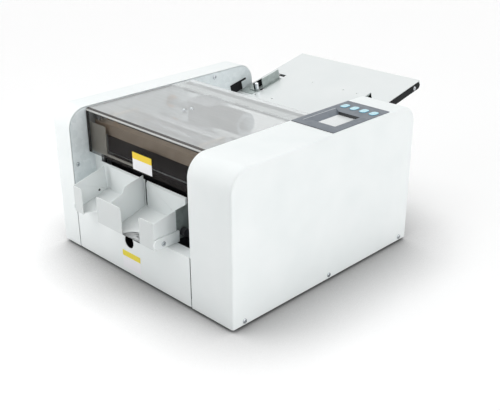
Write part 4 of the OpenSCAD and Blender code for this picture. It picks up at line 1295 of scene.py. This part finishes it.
@dataclass
class ControlPanel(Assembly):
    """The bezel with its sunk display and the row of oval buttons.

    Attributes:
        button_count: Number of buttons.
        button_size: Width and length of a button.
        collar: How far a button's collar stands out, and its height.
        crown_steps: Inset and rise of each step towards the middle of a crown.
        highlight_depth: How far below its top a crown takes its pale painted highlight.
        display_skins: Depth below the display's top down to which it is glass, and then dark housing.
        lip: Low and high corner of the pale lip beside the display's sloping side, which stands for a painted
            highlight on the slope's top edge.
        recess: Low and high corner of the bezel's recess, whose walls are dark plastic as painted shade.
    """

    button_count: int = 4
    button_size: tuple[float, float] = (11.5, 17.5)
    collar: tuple[float, float] = (1.0, 4.0)
    crown_steps: tuple[tuple[float, float], ...] = ((0.5, 0.22), (0.9, 0.18), (1.2, 0.1))
    highlight_depth: float = 0.2
    display_skins: tuple[float, float] = (0.3, 3.9)
    lip: tuple[Point, Point] = ((328.3, 215, 231), (329.1, 290.2, 231.5))
    recess: tuple[Point, Point] = ((341.5, 0, 0), (383, 400, 230.6))

    def build(self) -> Iterator[bpy.types.Object]:
        """Make the panel."""
        in_recess = within(*self.recess)
        # The recess walls take dark plastic as painted shade.
        wall = (DARK_PLASTIC, lambda at, normal: in_recess(at, normal) and normal.z < 0.5)
        top = self.cabinet.box("display_module")[1].z
        glass, housing = (top - depth for depth in self.display_skins)
        skins = ((DISPLAY, lambda at, _: at.z > glass), (DARK_PLASTIC, lambda at, _: at.z > housing))
        yield self.refined("control_bezel", BEZEL_PLASTIC, edge=0.35, zones=(wall,))
        yield self.refined("display_module", BOARD, edge=0.2, zones=skins)
        # The pale lip is a painted highlight along the sloping side's top edge.
        yield Piece("display_painted_highlight").box(*self.lip, edge=0.15).finished(self.cabinet, HIGHLIGHT_PLASTIC, "machine")
        for k in range(self.button_count):
            yield self.button(k)

    def button(self, number: int) -> bpy.types.Object:
        """Mould one oval button with a crowned top and the collar that stops it under the bezel.

        Args:
            number: Number of the button, from 0.

        Returns:
            The finished button.
        """
        node = f"button_{number + 1}"
        piece = Piece(f"{node}_moulded")
        low, high = self.cabinet.box(node)
        place = Matrix.Translation(((low.x + high.x) / 2, (low.y + high.y) / 2, low.z))
        crown = self.oval(0, high.z - low.z - sum(lift for _, lift in self.crown_steps))
        cap = next(f for f in crown.faces if f.normal.z > 0.9)
        for inset, lift in self.crown_steps:
            bmesh.ops.inset_region(crown, faces=[cap], thickness=inset, depth=lift, use_even_offset=True)
        piece.take(crown, place).take(self.oval(*self.collar), place)
        # Painted highlight on the crown's top, painted shade on the sides.
        top = (KEY_HIGHLIGHT, lambda at, normal: normal.z > 0.97 and at.z > high.z - self.highlight_depth)
        side = (KEY_SHADE, lambda _, normal: normal.z < 0.3)
        return piece.finished(self.cabinet, KEY_RUBBER, self.cabinet.carrier[node], (node,), (top, side))

    def oval(self, grow: float, height: float) -> bmesh.types.BMesh:
        """Make an upright oval prism on z = 0.

        Args:
            grow: How far it stands out from a button's outline.
            height: Height of the prism.

        Returns:
            The prism's mesh.
        """
        part = bmesh.new()
        width, length = self.button_size
        bmesh.ops.create_circle(part, cap_ends=True, segments=48, radius=width / 2 + grow)
        for side in (-1, 1):
            half = [v for v in part.verts if v.co.y * side > NEAR]
            bmesh.ops.translate(part, vec=(0, side * (length - width) / 2, 0), verts=half)
        pulled(part, (0, 0, height))
        bmesh.ops.recalc_face_normals(part, faces=part.faces)
        return part


@dataclass
class PowerEntry(Assembly):
    """The mains inlet at the back and the rocker beside it.

    Attributes:
        blades: Low and high corner of the space that holds the inlet's blades.
    """

    blades: tuple[Point, Point] = ((363.5, 383, 34.5), (380.5, 394.5, 41.5))

    def build(self) -> Iterator[bpy.types.Object]:
        """Make the inlet and the rocker."""
        yield self.refined("power_inlet", DARK_PLASTIC, edge=0.25, zones=((NICKEL, within(*self.blades)),))
        yield self.refined("power_rocker", DARK_PLASTIC, edge=0.3)


@dataclass
class PaperPath(Assembly):
    """Rollers, slitter shafts and the gears and belt that turn them.

    Attributes:
        gear_end_x: Where the gears at the left end.
        shaft_radius: Radius of every shaft, with a little to spare.
        motor_steps: X where the motor's foot ends, where its gearbox ends and where its end cap begins.
    """

    gear_end_x: float = 36.5
    shaft_radius: float = 6.3
    motor_steps: tuple[float, float, float] = (108.2, 160.3, 217)

    def build(self) -> Iterator[bpy.types.Object]:
        """Make the paper path."""
        yield self.refined("paper_deck", ZINC, edge=0.25)
        yield self.refined("shaft_bearings", BRONZE, edge=0.2)
        for place in ("feed", "exit"):
            for roller in (f"{place}_roller", f"{place}_pinch_roller"):
                yield self.refined(roller, TYRE_RUBBER, edge=0.3, zones=self.roller_zones(roller))
            yield self.refined(f"{place}_idler_gear", NYLON, edge=0.2)
        for place in ("lower", "upper"):
            yield from self.all_refined(
                (f"{place}_slitter_shaft", BRIGHT_STEEL, 0.4),
                (f"{place}_slitter_discs", GROUND_STEEL, 0.15),
                (f"{place}_slitter_gear", BRASS, 0.2),
            )
        foot_end, gearbox_end, cap_start = self.motor_steps
        foot = (ZINC, lambda at, _: at.x < foot_end)
        bare = (ALUMINIUM, lambda at, _: at.x < gearbox_end or at.x > cap_start)
        yield self.refined("motor_shaft", BRIGHT_STEEL, edge=0.3)
        yield self.refined("drive_belt", BLACK_RUBBER, edge=0.2)
        yield self.refined("drive_motor", MOTOR_COAT, edge=0.5, zones=(foot, bare))

    def roller_zones(self, roller: str) -> tuple[tuple[Finish, FaceTest], ...]:
        """Work out the finishes of a roller's gear and bare shaft.

        Args:
            roller: The roller's node.

        Returns:
            Each finish with the test for its faces.
        """
        low, high = self.cabinet.box(roller)
        axis = (low + high) / 2

        def on_shaft(at: Vector) -> bool:
            """Tell whether a face's middle lies on or in the shaft."""
            return (at.yz - axis.yz).length < self.shaft_radius

        return (
            (NYLON, lambda at, _: at.x < self.gear_end_x and not on_shaft(at)),
            (BRIGHT_STEEL, lambda at, _: on_shaft(at)),
        )


@dataclass
class Guillotine(Assembly):
    """The moving knife on its beam, the fixed knife, the guides and the eccentric drive.

    Attributes:
        block_back_y: Back of the moulded blocks and strip behind the window.
        foot_end_x: X where the cutter motor's foot ends.
    """

    block_back_y: float = 40
    foot_end_x: float = 336.3

    def build(self) -> Iterator[bpy.types.Object]:
        """Make the guillotine."""
        blocks = (ACETAL, lambda at, _: at.y < self.block_back_y)
        foot = (ZINC, lambda at, _: at.x < self.foot_end_x)
        yield from self.all_refined(
            ("knife_guides", BRIGHT_STEEL, 0.3, (blocks,)),
            ("fixed_knife", BLACK_OXIDE, 0.3),
            ("moving_knife", BLACK_OXIDE, 0.3),
            ("knife_beam", ANODISED, 0.4),
            ("cutter_shaft", BRIGHT_STEEL, 0.25),
            ("cutter_pinion", BRASS, 0.2),
            ("cutter_motor", MOTOR_COAT, 0.5, (foot,)),
        )


@dataclass
class Electrics(Assembly):
    """The power supply and the circuit board under the right cover.

    Attributes:
        board: X of the circuit board's back and of its face.
        tops: Height of the coil and of the capacitors, over which the plugs sit.
    """

    board: tuple[float, float] = (322.8, 324.8)
    tops: tuple[float, float] = (110, 150)

    def build(self) -> Iterator[bpy.types.Object]:
        """Make the electrics."""
        back, face = self.board
        coil_top, capacitor_top = self.tops
        zones = (
            (COPPER, lambda at, _: at.x > face and at.z < coil_top),
            (BLUE_SLEEVE, lambda at, _: at.x > face and at.z < capacitor_top),
            (PLUG_NYLON, lambda at, _: at.x > face),
            (BRIGHT_STEEL, lambda at, _: at.x < back),
        )
        yield self.refined("power_supply", ZINC, edge=0.4)
        yield self.refined("circuit_board", BOARD, edge=0.2, zones=zones)


@dataclass
class Fasteners(Assembly):
    """The pan-head screws with their cross recesses, and the thumb nut beside the tray.

    Attributes:
        head: Radius and height of a head.
        shank_radius: Radius of a shank.
        recess: Half width, reach and depth of a head's cross recess.
        taper: Size of the recess's bottom as a share of its mouth.
        cover_y: Front to back places of the screws along the covers' lower edges.
        cover_z: Height of those screws.
        plate_screws: Places of the screws inside the passage, as Y and Z.
        bar_screws: Places of the tie bars' screws, as Y and Z.
        rail_screw: Place of the table rails' screws, as Y and Z.
        arm_screw: Place of the tray arms' screws, as Y and Z.
        shanks: Length of the screws in the covers, in the bars and in the rails and arms.
        nut_at: Start of the thumb nut.
        nut_size: Radius and length of the thumb nut.
        knurl: Radius in the nut's grooves as a share of the radius between them.
    """

    head: tuple[float, float] = (3.6, 1.6)
    shank_radius: float = 2
    recess: tuple[float, float, float] = (0.45, 1.9, 0.9)
    taper: float = 0.6
    cover_y: tuple[float, ...] = (22.3, 200.2, 378.5)
    cover_z: float = 6
    plate_screws: tuple[tuple[float, float], ...] = ((9, 140.6), (304, 221), (150, 60), (384, 140))
    bar_screws: tuple[tuple[float, float], ...] = ((74, 112), (240, 104), (378, 60), (117, 208))
    rail_screw: tuple[float, float] = (518.59, 210.77)
    arm_screw: tuple[float, float] = (-6, 87)
    shanks: tuple[float, float, float] = (5, 11, 3)
    nut_at: Point = (264.4, 33, 92)
    nut_size: tuple[float, float] = (6.5, 9)
    knurl: float = 0.95

    def build(self) -> Iterator[bpy.types.Object]:
        """Make the screws and the nut."""
        piece = Piece("pan_head_screws")
        box = self.cabinet.box
        covers = box("left_cover")[0].x, box("right_cover")[1].x
        (plate, passage), (passage_end, plate_end) = map(box, ("left_frame_plate", "right_frame_plate"))
        arm, arm_end = box("tray_arms")
        inside = passage.x, passage_end.x
        outward, inward = (-1, 1), (1, -1)
        short, long, stub = self.shanks
        # Each row: X of the faces under the heads, where the heads point, places as Y and Z, length of shank
        rows = (
            (covers, outward, [(y, self.cover_z) for y in self.cover_y], short),
            (inside, inward, self.plate_screws, short),
            ((plate.x, plate_end.x), outward, self.bar_screws, long),
            (inside, outward, (self.rail_screw,), stub),
            ((arm.x, arm_end.x), outward, (self.arm_screw,), stub),
        )
        for faces_x, sides, places, length in rows:
            for x, side in zip(faces_x, sides):
                turn = Axis.X.value if side > 0 else Matrix.Rotation(math.pi, 4, "Z") @ Axis.X.value
                for y, z in places:
                    piece.take(self.screw(length), Matrix.Translation((x, y, z)) @ turn)
        piece.take(self.thumb_nut(), Axis.X.at(self.nut_at))
        nut = (DARK_PLASTIC, lambda at, _: self.on_nut(at))
        yield piece.finished(self.cabinet, NICKEL, self.cabinet.carrier["screws"], ("screws",), (nut,))

    def on_nut(self, at: Vector) -> bool:
        """Tell whether a face's middle lies on the thumb nut and not on a screw beside it."""
        x, y, z = self.nut_at
        return at.x > x + 0.1 and math.hypot(at.y - y, at.z - z) < self.nut_size[0] + 0.5

    def screw(self, length: float) -> bmesh.types.BMesh:
        """Make one screw, whose head stands on z = 0 and points up.

        Args:
            length: Length of the shank under the head.

        Returns:
            The screw's mesh.
        """
        part = bmesh.new()
        radius, height = self.head
        half, reach, depth = self.recess
        cylinder(part, radius, 0, height, sides=24)
        rounded(part, [e for e in part.edges if lies_at(e, 2, height)], height / 2, segments=3)
        for normal in (Vector((1, 0, 0)), Vector((0, 1, 0))):
            for cut in (-reach, -half, half, reach):
                split(part, self.crown(part), normal * cut, normal)
        cross = [f for f in self.crown(part) if self.in_cross(f.calc_center_median())]
        sunk = bmesh.ops.extrude_face_region(part, geom=cross)
        bmesh.ops.delete(part, geom=cross, context="FACES")
        well = [v for v in sunk["geom"] if isinstance(v, bmesh.types.BMVert)]
        bmesh.ops.scale(part, vec=(self.taper, self.taper, 1), verts=well)
        bmesh.ops.translate(part, vec=(0, 0, -depth), verts=well)
        cylinder(part, self.shank_radius, -length, 0, sides=16)
        bmesh.ops.recalc_face_normals(part, faces=part.faces)
        return part

    def crown(self, part: bmesh.types.BMesh) -> list[bmesh.types.BMFace]:
        """Return the flat faces on top of a head."""
        return [f for f in part.faces if f.normal.z > 0.99 and lies_at(f, 2, self.head[1])]

    def in_cross(self, at: Vector) -> bool:
        """Tell whether a point lies in the outline of the cross recess.

        Args:
            at: The point, with the head's axis at X and Y 0.

        Returns:
            True if it does.
        """
        half, reach, _ = self.recess
        near, far = sorted((abs(at.x), abs(at.y)))
        return near < half and far < reach

    def thumb_nut(self) -> bmesh.types.BMesh:
        """Make the nut that is turned by hand, with a knurled rim, along +Z from z = 0.

        Returns:
            The nut's mesh.
        """
        part = bmesh.new()
        radius, length = self.nut_size
        bmesh.ops.create_circle(part, cap_ends=True, segments=60, radius=radius)
        bmesh.ops.scale(part, vec=(self.knurl, self.knurl, 1), verts=list(part.verts)[1::2])
        pulled(part, (0, 0, length))
        bmesh.ops.recalc_face_normals(part, faces=part.faces)
        soften(part, width=0.5, limit=math.radians(60))
        return part


# ---- Studio ----


@dataclass(frozen=True)
class Sun:
    """A distant soft lamp.

    Attributes:
        name: Name of the lamp.
        towards: Direction from the object to the lamp.
        strength: Irradiance in watts per square metre.
        angle: Apparent size in degrees, which softens its shadows.
    """

    name: str
    towards: tuple[float, float, float]
    strength: float
    angle: float


@dataclass(frozen=True)
class Panel:
    """A square soft lamp that stands close by.

    Attributes:
        name: Name of the lamp.
        place: Middle of the lamp in cabinet millimetres.
        target: Point that it is aimed at.
        power: Power in watts.
        size: Length of a side in millimetres.
    """

    name: str
    place: tuple[float, float, float]
    target: tuple[float, float, float]
    power: float
    size: float


@dataclass
class Studio:
    """Floor, sky, lamps and camera.

    Attributes:
        cabinet: Cabinet that the camera looks at.
        eye: Place of the camera in cabinet millimetres.
        yaw: Turn of the view to the left of straight back, in degrees.
        pitch: Slope of the view downwards, in degrees.
        roll: Turn of the frame about the view, in degrees.
        focal_share: Focal length as a multiple of the frame's width.
        floor_colour: Colour of the floor in sRGB hex.
        floor_half: Half the width of the floor in metres.
        floor_glow: How much the floor glows for the camera.
        contact_reach: How near a surface darkens the floor, in metres.
        sky_light: Strength of the sky on what the camera doesn't see directly.
        suns: The distant lamps.
        panel: The lamp that stands close by.
    """

    cabinet: Cabinet
    eye: Point = (1070.8, -636.8, 610.8)
    yaw: float = 45.01
    pitch: float = 24.65
    roll: float = -0.31
    focal_share: float = 811 / 500
    floor_colour: str = "EFEFEF"
    floor_half: float = 6.0
    floor_glow: float = 0.12
    contact_reach: float = 0.14
    sky_light: float = 0.44
    suns: tuple[Sun, ...] = (
        Sun("key_from_behind", (-0.35, 0.25, 0.9), 0.85, 45),
        Sun("key_from_above", (-0.3, -0.15, 0.94), 0.75, 45),
        Sun("fill_from_right", (0.92, 0.12, 0.32), 1.45, 50),
        Sun("fill_from_front", (-0.35, -0.75, 0.56), 0.1, 50),
    )
    panel: Panel = Panel("panel_at_left", (-320, -540, 440), (60, 0, 110), 2.3, 600)

    def build(self) -> None:
        """Set up the studio."""
        bpy.context.scene.view_settings.view_transform = "Standard"
        self.floor()
        self.sky()
        for sun in self.suns:
            lamp = self.lamp(sun.name, "SUN", sun.strength, Vector(sun.towards))
            lamp.data.angle = math.radians(sun.angle)
        place, target = self.cabinet.metres(self.panel.place), self.cabinet.metres(self.panel.target)
        lamp = self.lamp(self.panel.name, "AREA", self.panel.power, place - target)
        lamp.location = place
        lamp.data.size = self.panel.size * MM
        self.camera()

    def floor(self) -> None:
        """Lay the pale floor, which the camera sees as white except where the object shades it."""
        mesh = bmesh.new()
        bmesh.ops.create_grid(mesh, x_segments=1, y_segments=1, size=self.floor_half)
        data = bpy.data.meshes.new("studio_floor")
        mesh.to_mesh(data)
        mesh.free()
        # Matt paper: it scatters evenly, darkens close to the object, and glows a little for the camera
        paper = bpy.data.materials.new("matt_paper_floor")
        paper.use_nodes = True
        tree = paper.node_tree
        tree.nodes.clear()
        white = {"Color": linear(self.floor_colour), "Distance": self.contact_reach}
        near = add_node(tree, "ShaderNodeAmbientOcclusion", white, samples=8).outputs
        matt = add_node(tree, "ShaderNodeBsdfDiffuse", links={"Color": near["Color"]})
        faint = add_node(tree, "ShaderNodeMath", {1: self.floor_glow}, {0: near["AO"]}, operation="MULTIPLY")
        rays = add_node(tree, "ShaderNodeLightPath").outputs
        both_factors = {0: rays["Is Camera Ray"], 1: faint.outputs[0]}
        glow = add_node(tree, "ShaderNodeMath", links=both_factors, operation="MULTIPLY")
        light = add_node(tree, "ShaderNodeEmission", links={"Strength": glow.outputs[0]})
        both = add_node(tree, "ShaderNodeAddShader", links={0: matt.outputs[0], 1: light.outputs[0]})
        add_node(tree, "ShaderNodeOutputMaterial", links={"Surface": both.outputs[0]})
        data.materials.append(paper)
        floor = shown("studio_floor", data)

    def sky(self) -> None:
        """Light the scene evenly from all around, and show white to the camera, to metal and to glass."""
        world = bpy.data.worlds.new("soft_studio")
        bpy.context.scene.world = world
        world.use_nodes = True
        tree = world.node_tree
        tree.nodes.clear()
        rays = add_node(tree, "ShaderNodeLightPath").outputs
        clear = rays["Is Camera Ray"]
        for kind in ("Is Glossy Ray", "Is Transmission Ray"):
            either = add_node(tree, "ShaderNodeMath", links={0: clear, 1: rays[kind]}, operation="MAXIMUM")
            clear = either.outputs[0]
        levels = {"To Min": self.sky_light, "To Max": 1.0}
        strength = add_node(tree, "ShaderNodeMapRange", levels, {"Value": clear})
        light = add_node(tree, "ShaderNodeBackground", links={"Strength": strength.outputs[0]})
        add_node(tree, "ShaderNodeOutputWorld", links={"Surface": light.outputs[0]})

    @staticmethod
    def lamp(name: str, kind: str, power: float, towards: Vector) -> bpy.types.Object:
        """Hang a lamp whose light comes from one direction.

        Args:
            name: Name of the lamp.
            kind: Type name of the lamp.
            power: Its energy.
            towards: Direction from what it lights to the lamp.

        Returns:
            The lamp's object.
        """
        lamp = shown(name, bpy.data.lights.new(name, kind))
        lamp.data.energy = power
        lamp.rotation_euler = towards.to_track_quat("Z", "Y").to_euler()
        return lamp

    def camera(self) -> None:
        """Stand the camera at its place and aim it."""
        yaw, pitch, roll = (math.radians(a) for a in (self.yaw, self.pitch, self.roll))
        ahead = Vector((-math.sin(yaw) * math.cos(pitch), math.cos(yaw) * math.cos(pitch), -math.sin(pitch)))
        level = Vector((math.cos(yaw), math.sin(yaw), 0))
        upright = level.cross(ahead)
        right = math.cos(roll) * level + math.sin(roll) * upright
        up = -math.sin(roll) * level + math.cos(roll) * upright
        camera = shown("studio_camera", bpy.data.cameras.new("studio_view"))
        camera.data.sensor_width = 36
        camera.data.lens = self.focal_share * camera.data.sensor_width
        camera.data.clip_start, camera.data.clip_end = 0.01, 50
        turn = Matrix((right, up, -ahead)).transposed().to_4x4()
        camera.matrix_world = Matrix.Translation(self.cabinet.metres(self.eye)) @ turn
        bpy.context.scene.camera = camera


def main() -> None:
    """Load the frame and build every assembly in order."""
    logging.basicConfig(level=logging.INFO, format="%(name)s: %(message)s")
    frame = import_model()
    cabinet = Cabinet(frame)
    Studio(cabinet).build()
    assemblies: tuple[type[Assembly], ...] = (
        SideCovers,
        Chassis,
        Window,
        CardTray,
        WasteDrawer,
        FeedTable,
        ControlPanel,
        PowerEntry,
        PaperPath,
        Guillotine,
        Electrics,
        Fasteners,
    )
    for assembly in assemblies:
        for piece in assembly(cabinet).build():
            log.info("%s: %s, %d faces", assembly.__name__, piece.name, len(piece.data.polygons))


if __name__ == "__main__":
    main()
